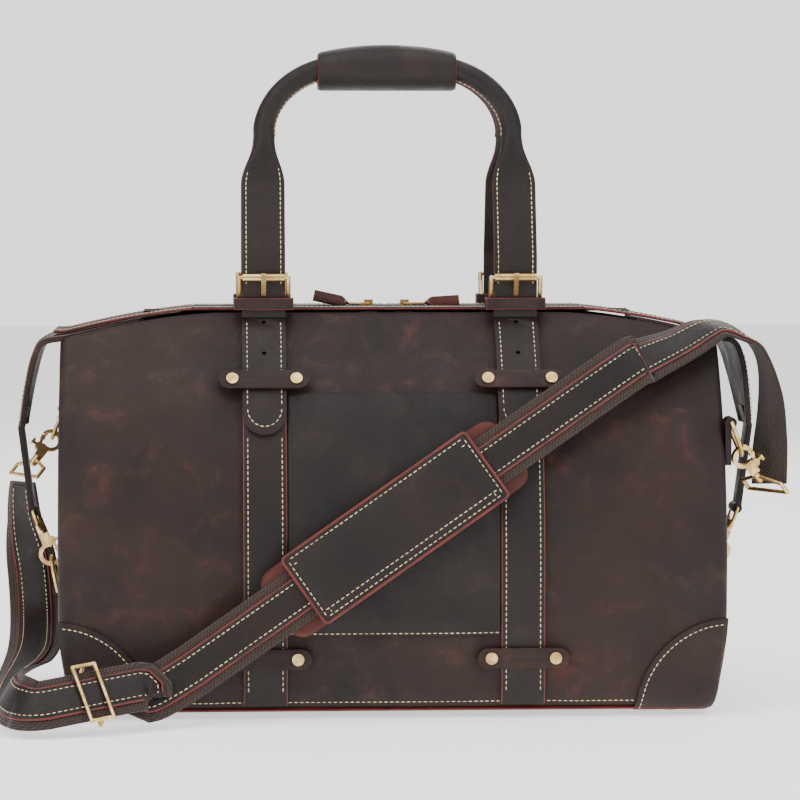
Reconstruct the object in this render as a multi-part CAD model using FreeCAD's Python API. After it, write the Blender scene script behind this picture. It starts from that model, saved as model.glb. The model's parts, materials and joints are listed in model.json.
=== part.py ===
import FreeCAD, Part
import math
import os

from FreeCAD import Matrix, Vector

# A leather weekender bag. Millimetres, X to the right, Y to the back, Z up.
# The origin is on the floor under the bag's middle.

# Body
BAG_LENGTH = 500.0
BAG_DEPTH = 250.0
BAG_HEIGHT = 297.0
FOOT_HEIGHT = 5.0
FOOT_RADIUS = 8.5
FOOT_INSET_X = 38.0
FOOT_INSET_Y = 40.0
FLANK_START = 105.0
SHOULDER_HALF = 40.0
BOTTOM_CORNER = 16.0
LEATHER = 2.6
LINING = 1.2
BASE_BOARD = 2.0
GAP = 0.3
RIDGE_FLAT_HALF = 190.0
WING_REACH = 12.0
WING_DROP = 17.0
WING_LENGTH = 73.0
WING_LEAN = 14.0
WING_THICKNESS = 6.0
WING_TIP_HALF = 18.0
PATCH_LENGTH = 68.0
PATCH_HEIGHT = 56.0
POCKET_BOTTOM = 62.0
POCKET_TOP = 240.0

# Straps and crossbars on the body
STRAP_WIDTH = 33.0
STRAP_SPACING = 192.0
HINGE_ANGLE = 45.0
TIP_BOTTOM = 212.0
CROSSBAR_LENGTH = 68.0
CROSSBAR_HEIGHT = 15.0
UPPER_CROSSBAR_Z = 248.0
LOWER_CROSSBAR_Z = 46.0
RIVET_SPACING = 48.0
RIVET_SHANK = 1.5
RIVET_HEAD = 4.5
HOLE_PITCH = 22.0
HOLE_RADIUS = 1.7

# Handles
LEAN_START = 345.0
HANDLE_TOP = 489.0
ROLL_RADIUS = 8.0
ROLL_OFFSET = 9.5
BOW_RADIUS = 65.0
BOW_SWEEP = 80.0
FLARE_LENGTH = 26.0
GRIP_LENGTH = 108.0
GRIP_HEIGHT = 34.0
GRIP_WALL = 3.4

# Buckles
BAR_RADIUS = 1.5
PIN_CLEARANCE = 0.05
ROLLER_RADIUS = 3.1
FRAME_HEIGHT = 22.0
FRAME_SIDE = 3.6
BAR_RISE = 8.0
CHAPE_WALL = 1.8
TONGUE_WIDTH = 3.6
TONGUE_OVERHANG = 6.0
TONGUE_SLOT = 6.0
KEEPER_HEIGHT = 9.0
KEEPER_WALL = 1.8

# Zip
LIP_HALF = 150.0
FACING = 2.2
ZIP_HALF_GAP = 6.2
TAPE_HALF = 16.0
TAPE = 0.8
SLIDER_REST = 14.0
SLIDER_LENGTH = 13.0
SLIDER_HALF = 5.4
PULL_LENGTH = 44.0
PULL_WIDTH = 9.0
LINK_LENGTH = 15.0

# Rings and hooks
WIRE = 1.5
RING_INNER = 22.0
RING_REACH = 26.6
TAB_WIDTH = 20.0
TAB = 4.4
LOOP_WALL = 2.6
BOWL_OUT = 9.0
BOWL_IN = 6.0
BOWL_THICKNESS = 4.0
EYE_REACH = 36.2
GATE_HUB = (4.6, -9.6)

# Shoulder strap
WEBBING_WIDTH = 40.0
WEBBING = 2.0
OVERLAY_WIDTH = 25.0
OVERLAY = 2.0
PAD_LENGTH = 216.0
PAD_WIDTH = 58.0
PAD_BASE = 5.0
PAD_COVER = 2.6
PAD_COVER_LENGTH = 166.0
ADJUSTER_LENGTH = 20.0

TOP = FOOT_HEIGHT + BAG_HEIGHT
HALF_LENGTH = BAG_LENGTH / 2
FLANK_Z = FOOT_HEIGHT + FLANK_START
RISE = TOP - FLANK_Z
RUN = BAG_DEPTH / 2 - SHOULDER_HALF
FLANK_RADIUS = (RISE ** 2 + RUN ** 2) / (2 * RUN)
FLANK_Y = FLANK_RADIUS - BAG_DEPTH / 2
SHOULDER_ANGLE = math.degrees(math.asin(RISE / FLANK_RADIUS))
FLANK_STEP = 6.0
STACK = 2 * (GAP + LEATHER)
FOLD_X = HALF_LENGTH + WING_REACH

parts = {}


def box(x0, x1, y0, y1, z0, z1):
    return Part.makeBox(x1 - x0, y1 - y0, z1 - z0, Vector(x0, y0, z0))


def prism(points, direction):
    """A closed outline of 3-D points pushed along a direction."""
    loop = [Vector(*p) for p in points]
    return Part.Face(Part.makePolygon(loop + loop[:1])).extrude(Vector(*direction))


def along_x(yz, x0, x1):
    return prism([(x0, y, z) for y, z in yz], (x1 - x0, 0, 0))


def along_y(xz, y0, y1):
    return prism([(x, y0, z) for x, z in xz], (0, y1 - y0, 0))


def rod(points, radius):
    """Round wire through points, with a ball at each inner corner."""
    points = [Vector(*p) for p in points]
    solid = None
    for a, b in zip(points, points[1:]):
        piece = Part.makeCylinder(radius, (b - a).Length, a, b - a)
        solid = piece if solid is None else solid.fuse(piece)
    for corner in points[1:-1]:
        solid = solid.fuse(Part.makeSphere(radius, corner))
    return solid.removeSplitter()


def mirror(shape, axis):
    return shape.mirror(Vector(0, 0, 0), Vector(1, 0, 0) if axis == "x" else Vector(0, 1, 0))


def four(shape):
    """A piece at the front right, with its copies at the other three corners."""
    pair = [shape, mirror(shape, "x")]
    return pair + [mirror(s, "y") for s in pair]


def add(name, *solids):
    """Keep solids under a node's name, as one solid or as a group."""
    pieces = [s for shape in solids for s in shape.Solids]
    parts[name] = pieces[0] if len(pieces) == 1 else Part.makeCompound(pieces)


# ---- the bag's side profile ----

def flank(offset, angle):
    """A point (y, z) on the front face, moved out by an offset, at an angle up the leaning flank."""
    a = math.radians(angle)
    return FLANK_Y - (FLANK_RADIUS + offset) * math.cos(a), FLANK_Z + (FLANK_RADIUS + offset) * math.sin(a)


def face_line(offset, top_angle):
    """The front face in the YZ plane from the bottom seam up to an angle of the flank."""
    corner = BOTTOM_CORNER + offset
    centre_y = BOTTOM_CORNER - BAG_DEPTH / 2
    centre_z = FOOT_HEIGHT + BOTTOM_CORNER
    line = []
    for k in range(4):
        a = math.radians(-90 + 30 * k)
        line.append((centre_y - corner * math.cos(a), centre_z + corner * math.sin(a)))
    angle = 0.0
    while angle < top_angle - 0.01:
        line.append(flank(offset, angle))
        angle += FLANK_STEP
    line.append(flank(offset, top_angle))
    return line


def face_layer(inner, outer, x0, x1, top_angle=None):
    """A layer lying on the front face between two offsets."""
    top_angle = SHOULDER_ANGLE if top_angle is None else top_angle
    outline = face_line(inner, top_angle) + face_line(outer, top_angle)[::-1]
    return along_x(outline, x0, x1)


def face_spot(offset, z):
    """The point on the front face at a height, and the outward direction there."""
    angle = math.degrees(math.asin(max(0.0, z - FLANK_Z) / FLANK_RADIUS))
    y, spot_z = flank(offset, angle)
    a = math.radians(angle)
    return (y, spot_z if angle else z), (-math.cos(a), math.sin(a))


def ridge(x, offset):
    """Height of the roof line at x, moved up by an offset."""
    x = abs(x)
    fall = WING_DROP / (FOLD_X - RIDGE_FLAT_HALF)
    return TOP + offset - max(0.0, x - RIDGE_FLAT_HALF) * fall


def below_ridge(shape, offset):
    """Cut a shell's ends down along the falling roof line."""
    x1 = FOLD_X + 20
    cut = along_y(
        [
            (RIDGE_FLAT_HALF, ridge(RIDGE_FLAT_HALF, offset)),
            (x1, ridge(x1, offset)),
            (x1, TOP + 30),
            (RIDGE_FLAT_HALF, TOP + 30),
        ],
        -BAG_DEPTH,
        BAG_DEPTH,
    )
    return shape.cut(cut).cut(mirror(cut, "x"))


def inside_profile(offset, bottom):
    """The whole closed side outline, moved in, from a height up to the shoulders."""
    line = face_line(offset, SHOULDER_ANGLE)
    first = next(k for k, p in enumerate(line) if p[1] > bottom)
    (y0, z0), (y1, z1) = line[first - 1], line[first]
    start = (y0 + (y1 - y0) * (bottom - z0) / (z1 - z0), bottom)
    half = [start] + line[first:]
    return half + [(-y, z) for y, z in half[::-1]]


def body_shell():
    front = below_ridge(face_layer(-LEATHER, 0, -HALF_LENGTH, HALF_LENGTH), -2.1)
    add("front_panel", front)
    add("back_panel", mirror(front, "y"))
    flat_half = BAG_DEPTH / 2 - BOTTOM_CORNER
    floor = FOOT_HEIGHT + LEATHER
    add("bottom_panel", box(-HALF_LENGTH, HALF_LENGTH, -flat_half, flat_half, FOOT_HEIGHT, floor))
    outline = inside_profile(-LEATHER - 0.2, floor + 0.2)
    end = below_ridge(along_x(outline, HALF_LENGTH - LEATHER, HALF_LENGTH), -2.4)
    add("end_panels", end, mirror(end, "x"))
    board_top = floor + GAP + BASE_BOARD
    board_x = HALF_LENGTH - LEATHER - 6
    add("base_board", box(-board_x, board_x, 6 - flat_half, flat_half - 6, floor + GAP, board_top))
    lining(board_top + GAP)


def lining(bottom):
    """A thin open-topped liner just inside the leather."""
    outer = -LEATHER - 0.4
    half = HALF_LENGTH - LEATHER - 0.4
    shell = along_x(inside_profile(outer, bottom), -half, half)
    hollow = along_x(inside_profile(outer - LINING, bottom + LINING), -half + LINING, half - LINING)
    mouth = SHOULDER_HALF - LEATHER - 2 * LINING - 2
    hatch = box(-half + LINING, half - LINING, -mouth, mouth, TOP - 30, TOP + 5)
    add("lining", below_ridge(shell.cut(hollow.fuse(hatch)), -2.8))


def end_wings():
    """The top corners, folded over each end and hanging as a tapering flap."""
    z_out = ridge(FOLD_X, 0)
    half_in = SHOULDER_HALF - 1
    half_out = FLANK_RADIUS * math.cos(math.asin((z_out - FLANK_Z) / FLANK_RADIUS)) - FLANK_Y
    x0 = RIDGE_FLAT_HALF
    x_in = x0 + 0.4
    plan = [(x_in, -half_in, 0), (FOLD_X, -half_out, 0), (FOLD_X, half_out, 0), (x_in, half_in, 0)]
    roof = prism(plan, (0, 0, TOP + 20))
    slab = along_y(
        [(x0, ridge(x0, -1.9)), (FOLD_X, z_out - 1.9), (FOLD_X, z_out - 0.1), (x0, ridge(x0, -0.1))],
        -BAG_DEPTH,
        BAG_DEPTH,
    )
    roof = roof.common(slab)
    tip_x = FOLD_X + WING_LEAN + 4
    tip_z = z_out - WING_LENGTH
    lean = math.atan2(tip_x - FOLD_X, z_out - tip_z)
    inward = Vector(-math.cos(lean), 0, -math.sin(lean)) * WING_THICKNESS
    flap = prism(
        [
            (FOLD_X, -half_out, z_out - 0.1),
            (FOLD_X, half_out, z_out - 0.1),
            (tip_x, WING_TIP_HALF, tip_z),
            (tip_x, -WING_TIP_HALF, tip_z),
        ],
        inward,
    )
    wing = roof.fuse(flap)
    add("end_wings", wing, mirror(wing, "x"))
    return tip_x, tip_z


def corner_patches():
    patch = face_layer(0.2, 2.2, HALF_LENGTH - PATCH_LENGTH, HALF_LENGTH - 0.2)
    ring = Part.Ellipse(Vector(0, 0, 0), PATCH_LENGTH, PATCH_HEIGHT)
    disc = Part.Face(Part.Wire([ring.toShape()])).extrude(Vector(0, 0, 2 * BAG_DEPTH))
    disc.rotate(Vector(0, 0, 0), Vector(1, 0, 0), 90)
    disc.translate(Vector(HALF_LENGTH, BAG_DEPTH, FOOT_HEIGHT))
    add("corner_patches", *four(patch.common(disc)))


def strap_outline(x, bottom, round_end):
    """A tall prism in the strap's outline, square or round at its lower end."""
    half = STRAP_WIDTH / 2
    foot = bottom + (half if round_end else 0)
    shape = box(x - half, x + half, -BAG_DEPTH, 0, foot, TOP + 30)
    if round_end:
        shape = shape.fuse(Part.makeCylinder(half, BAG_DEPTH, Vector(x, 0, foot), Vector(0, -1, 0)))
    return shape


def hole(x, z, depth_from, depth_to):
    (y0, z0), (dy, dz) = face_spot(depth_from, z)
    return Part.makeCylinder(HOLE_RADIUS, depth_to - depth_from, Vector(x, y0, z0), Vector(0, dy, dz))


def body_straps():
    x = STRAP_SPACING / 2
    half = STRAP_WIDTH / 2
    strap = face_layer(GAP, GAP + LEATHER, x - half, x + half, HINGE_ANGLE)
    strap = strap.common(strap_outline(x, FOOT_HEIGHT + 6, False))
    add("body_straps", *four(strap))
    low = GAP + LEATHER + GAP
    tip = face_layer(low, low + LEATHER, x - half, x + half, HINGE_ANGLE)
    tip = tip.common(strap_outline(x, TIP_BOTTOM, True))
    for k in range(2):
        tip = tip.cut(hole(x, TOP - 12 - k * HOLE_PITCH, low - 1, low + LEATHER + 1))
    add("handle_strap_tips", *four(tip))
    pocket_half = x - half - GAP
    pocket = face_layer(GAP, GAP + LEATHER, -pocket_half, pocket_half)
    span = box(-HALF_LENGTH, HALF_LENGTH, -BAG_DEPTH, 0, POCKET_BOTTOM, POCKET_TOP)
    add("front_pocket", pocket.common(span))


def crossbar(z, inner):
    """A round-ended leather bar riveted across a strap, with its two rivets."""
    x = STRAP_SPACING / 2
    half = CROSSBAR_LENGTH / 2
    end = CROSSBAR_HEIGHT / 2
    (y0, z0), (dy, dz) = face_spot(inner, z)
    out = Vector(0, dy, dz)
    up = Vector(0, -dz, dy) if dy > 0 else Vector(0, dz, -dy)
    centre = Vector(x, y0, z0)
    flat = half - end
    signs = ((-1, -1), (1, -1), (1, 1), (-1, 1))
    corners = [centre + Vector(sx * flat, 0, 0) + up * (sz * end) for sx, sz in signs]
    bar = prism(corners, out * LEATHER)
    rivets = []
    for side in (-1, 1):
        bar = bar.fuse(Part.makeCylinder(end, LEATHER, centre + Vector(side * flat, 0, 0), out))
    bar = bar.removeSplitter()
    for side in (-1, 1):
        spot = centre + Vector(side * RIVET_SPACING / 2, 0, 0)
        bore = Part.makeCylinder(RIVET_SHANK + PIN_CLEARANCE, LEATHER * 3, spot - out * LEATHER, out)
        bar = bar.cut(bore)
        shank = Part.makeCylinder(RIVET_SHANK, inner + LEATHER, spot - out * (inner - 0.1), out)
        head = Part.makeCylinder(RIVET_HEAD, 1.4, spot + out * (LEATHER + 0.05), out)
        rivets.append(shank.fuse(head).removeSplitter())
    return bar, rivets


def crossbars():
    bars, rivets = [], []
    low = GAP + LEATHER + 0.8
    high = low + LEATHER + GAP
    for z, inner in ((UPPER_CROSSBAR_Z, high), (LOWER_CROSSBAR_Z, low)):
        bar, pair = crossbar(z, inner)
        bars += four(bar)
        for r in pair:
            rivets += four(r)
    add("crossbars", *bars)
    add("rivets", *rivets)


def feet():
    foot_x = HALF_LENGTH - FOOT_INSET_X
    foot_y = BAG_DEPTH / 2 - FOOT_INSET_Y
    foot = Part.makeCone(FOOT_RADIUS * 0.7, FOOT_RADIUS, FOOT_HEIGHT * 0.6)
    rim = Part.makeCylinder(FOOT_RADIUS, FOOT_HEIGHT * 0.4 - 0.05, Vector(0, 0, FOOT_HEIGHT * 0.6))
    foot = foot.fuse(rim).removeSplitter()
    middle = foot.copy()
    foot.translate(Vector(foot_x, -foot_y, 0))
    add("feet", middle, *four(foot))


# ---- handles and buckles ----

HINGE_Y, HINGE_Z = flank(STACK, HINGE_ANGLE)
LEG_BOTTOM = HINGE_Z + 0.3
STRAP_FRONT = HINGE_Y
STRAP_BACK = HINGE_Y + LEATHER
BAR_Y = STRAP_BACK + 0.2 + CHAPE_WALL + BAR_RADIUS
BAR_Z = HINGE_Z + BAR_RISE
ROLLER_Y = STRAP_FRONT - GAP - ROLLER_RADIUS
ROLLER_Z = BAR_Z + FRAME_HEIGHT
LEG_MIDDLE = (STRAP_FRONT + STRAP_BACK) / 2
LEAN = math.atan2(-ROLL_OFFSET - LEG_MIDDLE, HANDLE_TOP - LEAN_START)
BOW_RISE = (HANDLE_TOP - LEAN_START) / math.cos(LEAN)


def lean_in(shape):
    """Tip an upright shape back about the strap's middle at the height where the handle starts to lean."""
    shape = shape.copy()
    shape.rotate(Vector(0, LEG_MIDDLE, LEAN_START), Vector(1, 0, 0), -math.degrees(LEAN))
    return shape


def roll(radius):
    """The round rolled middle of a handle, before it is tipped back."""
    y, top = LEG_MIDDLE, LEAN_START + BOW_RISE
    a = math.radians(BOW_SWEEP)
    foot_x = STRAP_SPACING / 2
    arc_x = foot_x - BOW_RADIUS * math.sin(a)
    low = Vector(foot_x, y, top - BOW_RADIUS * (1 - math.cos(a)))
    mid = Vector(arc_x + BOW_RADIUS * math.sin(a / 2), y, top - BOW_RADIUS * (1 - math.cos(a / 2)))
    high = Vector(arc_x, y, top)
    other = [Vector(-p.x, p.y, p.z) for p in (high, mid, low)]
    edges = [
        Part.Arc(low, mid, high).toShape(),
        Part.LineSegment(high, other[0]).toShape(),
        Part.Arc(other[0], other[1], other[2]).toShape(),
    ]
    tangent = Vector(-math.cos(a), 0, math.sin(a))
    section = Part.Wire([Part.Circle(low, tangent, radius).toShape()])
    return Part.Wire(edges).makePipeShell([section], True, True), low


def rectangle(x, y, z, width, depth):
    w, d = width / 2, depth / 2
    corners = [Vector(x + i * w, y + j * d, z) for i, j in ((-1, -1), (1, -1), (1, 1), (-1, 1), (-1, -1))]
    return Part.makePolygon(corners)


def handle_strap():
    """One leather strap: two flat legs that flare into a rolled grip."""
    bow, foot = roll(ROLL_RADIUS)
    x, y = STRAP_SPACING / 2, LEG_MIDDLE
    half = STRAP_WIDTH / 2
    neck = foot.z - 2
    upper = bow
    lower = None
    for s in (-1, 1):
        cx = s * x
        flat = box(cx - half, cx + half, STRAP_FRONT, STRAP_BACK, LEAN_START, neck - FLARE_LENGTH)
        flare = Part.makeLoft(
            [
                rectangle(cx, y, neck - FLARE_LENGTH, STRAP_WIDTH, LEATHER),
                rectangle(cx, y, neck + 4, 1.3 * ROLL_RADIUS, 1.3 * ROLL_RADIUS),
            ],
            True,
            True,
        )
        upper = upper.fuse(flat).fuse(flare)
        leg = box(cx - half, cx + half, STRAP_FRONT, STRAP_BACK, LEG_BOTTOM, LEAN_START)
        knee = pin(cx - half, cx + half, y, LEAN_START, LEATHER / 2)
        leg = leg.fuse(knee).cut(tongue_slot(cx))
        for k in range(2):
            spot = Vector(cx, STRAP_FRONT - 1, ROLLER_Z + 8 + k * HOLE_PITCH)
            if spot.z < LEAN_START - HOLE_RADIUS:
                leg = leg.cut(Part.makeCylinder(HOLE_RADIUS, LEATHER + 2, spot, Vector(0, 1, 0)))
        lower = leg if lower is None else lower.fuse(leg)
    return lean_in(upper).fuse(lower)


def tongue_slot(x):
    low = BAR_Z - 1.0
    high = BAR_Z + FRAME_HEIGHT * 0.62
    half = TONGUE_SLOT / 2
    return box(x - half, x + half, STRAP_FRONT - 1, STRAP_BACK + 1, low, high)


def pin(x0, x1, y, z, radius):
    return Part.makeCylinder(radius, x1 - x0, Vector(x0, y, z), Vector(1, 0, 0))


def chape(x):
    """The body strap's upper end, folded round the buckle's fixed bar, with a slot for the tongue."""
    half = STRAP_WIDTH / 2 - 0.6
    radius = BAR_RADIUS + CHAPE_WALL
    back = box(x - half, x + half, STRAP_BACK + GAP, STRAP_BACK + GAP + LEATHER, LEG_BOTTOM, BAR_Z)
    loop = pin(x - half, x + half, BAR_Y, BAR_Z, radius)
    shape = back.fuse(loop).cut(pin(x - half - 1, x + half + 1, BAR_Y, BAR_Z, BAR_RADIUS + PIN_CLEARANCE))
    slot = TONGUE_SLOT / 2
    reach = radius + 1
    return shape.cut(box(x - slot, x + slot, STRAP_BACK - 1, BAR_Y + reach, BAR_Z - reach, BAR_Z + reach))


def buckle_frame(x):
    """Two round side bars with the fixed bar at the foot and the roller's bar at the head."""
    half = STRAP_WIDTH / 2 + FRAME_SIDE / 2 + 0.4
    side = FRAME_SIDE / 2
    frame = pin(x - half, x + half, BAR_Y, BAR_Z, BAR_RADIUS)
    frame = frame.fuse(pin(x - half, x + half, ROLLER_Y, ROLLER_Z, BAR_RADIUS))
    for s in (-1, 1):
        frame = frame.fuse(rod([(x + s * half, BAR_Y, BAR_Z), (x + s * half, ROLLER_Y, ROLLER_Z)], side))
        for y, z in ((BAR_Y, BAR_Z), (ROLLER_Y, ROLLER_Z)):
            frame = frame.fuse(Part.makeSphere(side, Vector(x + s * half, y, z)))
    return frame.removeSplitter()


def roller(x):
    half = STRAP_WIDTH / 2 - 0.6
    tube = pin(x - half, x + half, ROLLER_Y, ROLLER_Z, ROLLER_RADIUS)
    return tube.cut(pin(x - half - 1, x + half + 1, ROLLER_Y, ROLLER_Z, BAR_RADIUS + PIN_CLEARANCE))


def tongue(x):
    """A prong that turns on the fixed bar and rests on the front of the roller."""
    half = TONGUE_WIDTH / 2
    thick = 1.5
    dy, dz = ROLLER_Y - BAR_Y, ROLLER_Z - BAR_Z
    reach = math.hypot(dy, dz)
    tilt = math.atan2(-dy, dz) + math.asin((ROLLER_RADIUS + thick + 0.1) / reach)
    prong = box(x - half, x + half, BAR_Y - thick, BAR_Y + thick, BAR_Z, BAR_Z + reach + TONGUE_OVERHANG)
    prong.rotate(Vector(0, BAR_Y, BAR_Z), Vector(1, 0, 0), math.degrees(tilt))
    hub = pin(x - half, x + half, BAR_Y, BAR_Z, BAR_RADIUS + 1.4)
    return hub.fuse(prong).cut(pin(x - half - 1, x + half + 1, BAR_Y, BAR_Z, BAR_RADIUS + PIN_CLEARANCE))


def keeper(x):
    """A leather loop round the strap, the chape and the foot of the frame."""
    half = STRAP_WIDTH / 2 + FRAME_SIDE + 0.8
    front = STRAP_FRONT - 2.2
    back = BAR_Y + BAR_RADIUS + CHAPE_WALL + 0.4
    z0 = HINGE_Z + 5.5
    z1 = z0 + KEEPER_HEIGHT
    wall = KEEPER_WALL
    outer = box(x - half - wall, x + half + wall, front - wall, back + wall, z0, z1)
    return outer.cut(box(x - half, x + half, front, back, z0 - 1, z1 + 1))


def grip_half():
    """Half of the wrap that holds both rolled handles together, parted between them."""
    ring = Part.Ellipse(Vector(0, 0, 0), ROLL_OFFSET + ROLL_RADIUS + GRIP_WALL, GRIP_HEIGHT / 2)
    body = Part.Face(Part.Wire([ring.toShape()])).extrude(Vector(0, 0, GRIP_LENGTH))
    body.rotate(Vector(0, 0, 0), Vector(1, 0, 0), 90)
    body.rotate(Vector(0, 0, 0), Vector(0, 0, 1), 90)
    body.translate(Vector(-GRIP_LENGTH / 2, 0, HANDLE_TOP - 1.5))
    low, high = HANDLE_TOP - GRIP_HEIGHT, HANDLE_TOP + GRIP_HEIGHT
    front = box(-GRIP_LENGTH, GRIP_LENGTH, -3 * ROLL_OFFSET, -0.3, low, high)
    tunnel, _ = roll(ROLL_RADIUS + PIN_CLEARANCE)
    return body.common(front).cut(lean_in(tunnel))


def handles():
    xs = (-STRAP_SPACING / 2, STRAP_SPACING / 2)
    sets = {
        "handle_strap": [handle_strap()],
        "buckle_chapes": [chape(x) for x in xs],
        "buckle_frames": [buckle_frame(x) for x in xs],
        "keepers": [keeper(x) for x in xs],
        "buckle_rollers": [roller(x) for x in xs],
        "grip_wrap": [grip_half()],
    }
    for name, shapes in sets.items():
        add("front_" + name, *shapes)
        add("rear_" + name, *[mirror(s, "y") for s in shapes])
    for side, x in zip(("left", "right"), xs):
        add("front_" + side + "_tongue", tongue(x))
        add("rear_" + side + "_tongue", mirror(tongue(x), "y"))


# ---- zip mouth ----

def zip_mouth():
    hinge_y = 2.0 - SHOULDER_HALF
    low = TOP + GAP
    lip = box(-LIP_HALF, LIP_HALF, hinge_y, -ZIP_HALF_GAP, low, low + FACING)
    add("front_zip_facing", lip)
    add("rear_zip_facing", mirror(lip, "y"))
    x0 = LIP_HALF + 0.6
    outline = []
    for offset in (GAP, GAP + FACING):
        line = [(x, ridge(x, offset)) for x in (x0, RIDGE_FLAT_HALF, FOLD_X - 2)]
        outline += line if offset == GAP else line[::-1]
    add("zip_facing_ends", *four(along_y(outline, hinge_y, -ZIP_HALF_GAP)))
    tape_z = TOP - 1.6
    notch = SLIDER_REST + SLIDER_LENGTH / 2 + 3
    end = RIDGE_FLAT_HALF - 1
    plan = [(-end, -0.15), (-notch - 2, -0.15), (-notch, -1.6), (notch, -1.6)]
    plan += [(notch + 2, -0.15), (end, -0.15), (end, -TAPE_HALF), (-end, -TAPE_HALF)]
    tape = prism([(x, y, tape_z) for x, y in plan], (0, 0, TAPE))
    add("front_zip_tape", tape)
    add("rear_zip_tape", mirror(tape, "y"))
    slider_and_pull(tape_z)


def slider_and_pull(tape_z):
    """A slider gripping the tape, with a wire link and a flat leather pull lying outward."""
    half = SLIDER_LENGTH / 2
    top = tape_z + TAPE + GAP
    x = SLIDER_REST
    upper = box(x - half, x + half, -SLIDER_HALF, SLIDER_HALF, top, top + 1.6)
    lower = box(x - half, x + half, -SLIDER_HALF, SLIDER_HALF, tape_z - GAP - 1.2, tape_z - GAP)
    post = box(x - half + 1, x + half - 1, -1.1, 1.1, tape_z - 1, top + 1)
    pin_z = top + 1.6 + WIRE + 1.4
    crown = box(x - 3.4, x + 3.4, -1.1, 1.1, top + 1, pin_z + WIRE + 1.6)
    slider = upper.fuse(lower).fuse(post).fuse(crown).removeSplitter()
    bore = Part.makeCylinder(1.0 + PIN_CLEARANCE, 8, Vector(x, -4, pin_z), Vector(0, 1, 0))
    slider = slider.cut(bore)
    side = 3.0
    tail = x + LINK_LENGTH
    link = rod([(x, -side, pin_z), (tail, -side, pin_z), (tail, side, pin_z), (x, side, pin_z)], 1.0)
    link = link.fuse(rod([(x, -side, pin_z), (x, side, pin_z)], 1.0))
    for s in (-1, 1):
        link = link.fuse(Part.makeSphere(1.0, Vector(x, s * side, pin_z)))
    link = link.removeSplitter()
    width = PULL_WIDTH / 2
    loop = Part.makeCylinder(2.6, 2 * (side - 1.3), Vector(tail, 1.3 - side, pin_z), Vector(0, 1, 0))
    strip = box(tail + 1.8, tail + PULL_LENGTH, -width, width, pin_z - 1.3, pin_z + 1.3)
    neck = box(tail, tail + 4, 1.3 - side, side - 1.3, pin_z - 1.3, pin_z + 1.3)
    eye = Part.makeCylinder(1.05, 20, Vector(tail, -10, pin_z), Vector(0, 1, 0))
    pull = strip.fuse(loop).fuse(neck).cut(eye)
    for name, shape in (("slider", slider), ("pull_link", link), ("leather_pull", pull)):
        add("right_" + name, shape)
        add("left_" + name, mirror(shape, "x"))


# ---- rings, tabs and hooks ----

BOWL_LINK = 2.0
WING_EYE = Vector(HALF_LENGTH + 23.5, 0, 146)
WING_BOWL = Vector(HALF_LENGTH + 11, 0, 112)
LOWER_BAR = Vector(HALF_LENGTH + 5, 0, 84)
SHOULDER_BOWL = Vector(HALF_LENGTH + 15, -96, 193)
SHOULDER_BAR = Vector(HALF_LENGTH + 4.6, -96, 219.4)
STRAP_AXIS = Vector(-0.58, -0.35, 0.735).normalize()
STRAP_EYE = SHOULDER_BOWL - STRAP_AXIS * EYE_REACH
STRAP_EYE_SIDE = Vector(0.517, -0.856, 0).normalize()


def unit(v):
    return Vector(v).normalize()


def placed(shape, origin, across, along):
    """Put a shape drawn flat (x across, y along, z through) at an origin with new directions."""
    y = unit(along)
    z = unit(unit(across).cross(y))
    x = y.cross(z)
    shape = shape.copy()
    shape.Placement = FreeCAD.Placement(origin, FreeCAD.Rotation(x, y, z, "ZYX"))
    return shape


def sector(r_in, r_out, start, end, half):
    ring = Part.makeCylinder(r_out, 2 * half, Vector(0, 0, -half), Vector(0, 0, 1), end - start)
    ring = ring.cut(Part.makeCylinder(r_in, 2 * half + 2, Vector(0, 0, -half - 1)))
    ring.rotate(Vector(0, 0, 0), Vector(0, 0, 1), start)
    return ring


def hub(radius, half):
    return Part.makeCylinder(radius, 2 * half, Vector(GATE_HUB[0], GATE_HUB[1], -half))


def hook_body():
    """The open bowl, the forked neck that holds the gate's pin, and the swivel stem."""
    half = BOWL_THICKNESS / 2
    body = sector(BOWL_IN, BOWL_OUT, 27, 297, half).fuse(sector(7.1, BOWL_OUT, 5, 27.5, half))
    body = body.fuse(box(-3.4, 4.0, -17, -7.2, -2.4, 2.4)).fuse(hub(3.4, 2.4))
    body = body.cut(box(0.8, 12, -15, -3, -1.15, 1.15)).fuse(hub(1.2, 2.4))
    stem = Part.makeCylinder(1.6, 8, Vector(0, -16.8, 0), Vector(0, -1, 0))
    head = Part.makeCylinder(2.6, 1.2, Vector(0, -24.6, 0), Vector(0, -1, 0))
    return body.fuse(stem).fuse(head).removeSplitter()


def hook_gate():
    """The sprung gate inside the bowl's open side, with its thumb lever."""
    half = BOWL_THICKNESS / 2
    gate = sector(5.2, 6.9, -35, 22, half).fuse(sector(5.2, 8.6, -35, -2, half))
    x, y = GATE_HUB
    link = prism([(x - 1, y, -1), (x + 1.4, y, -1), (7.4, -3.6, -1), (5.2, -3.2, -1)], (0, 0, 2))
    lever = box(x, 11.0, y - 1.2, y + 1.2, -1, 1).fuse(box(10.0, 12.0, y - 2, y + 2.6, -3, 3))
    gate = gate.fuse(link).fuse(hub(2.6, 1.0)).fuse(lever)
    return gate.cut(hub(1.2 + PIN_CLEARANCE, 2)).removeSplitter()


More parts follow.
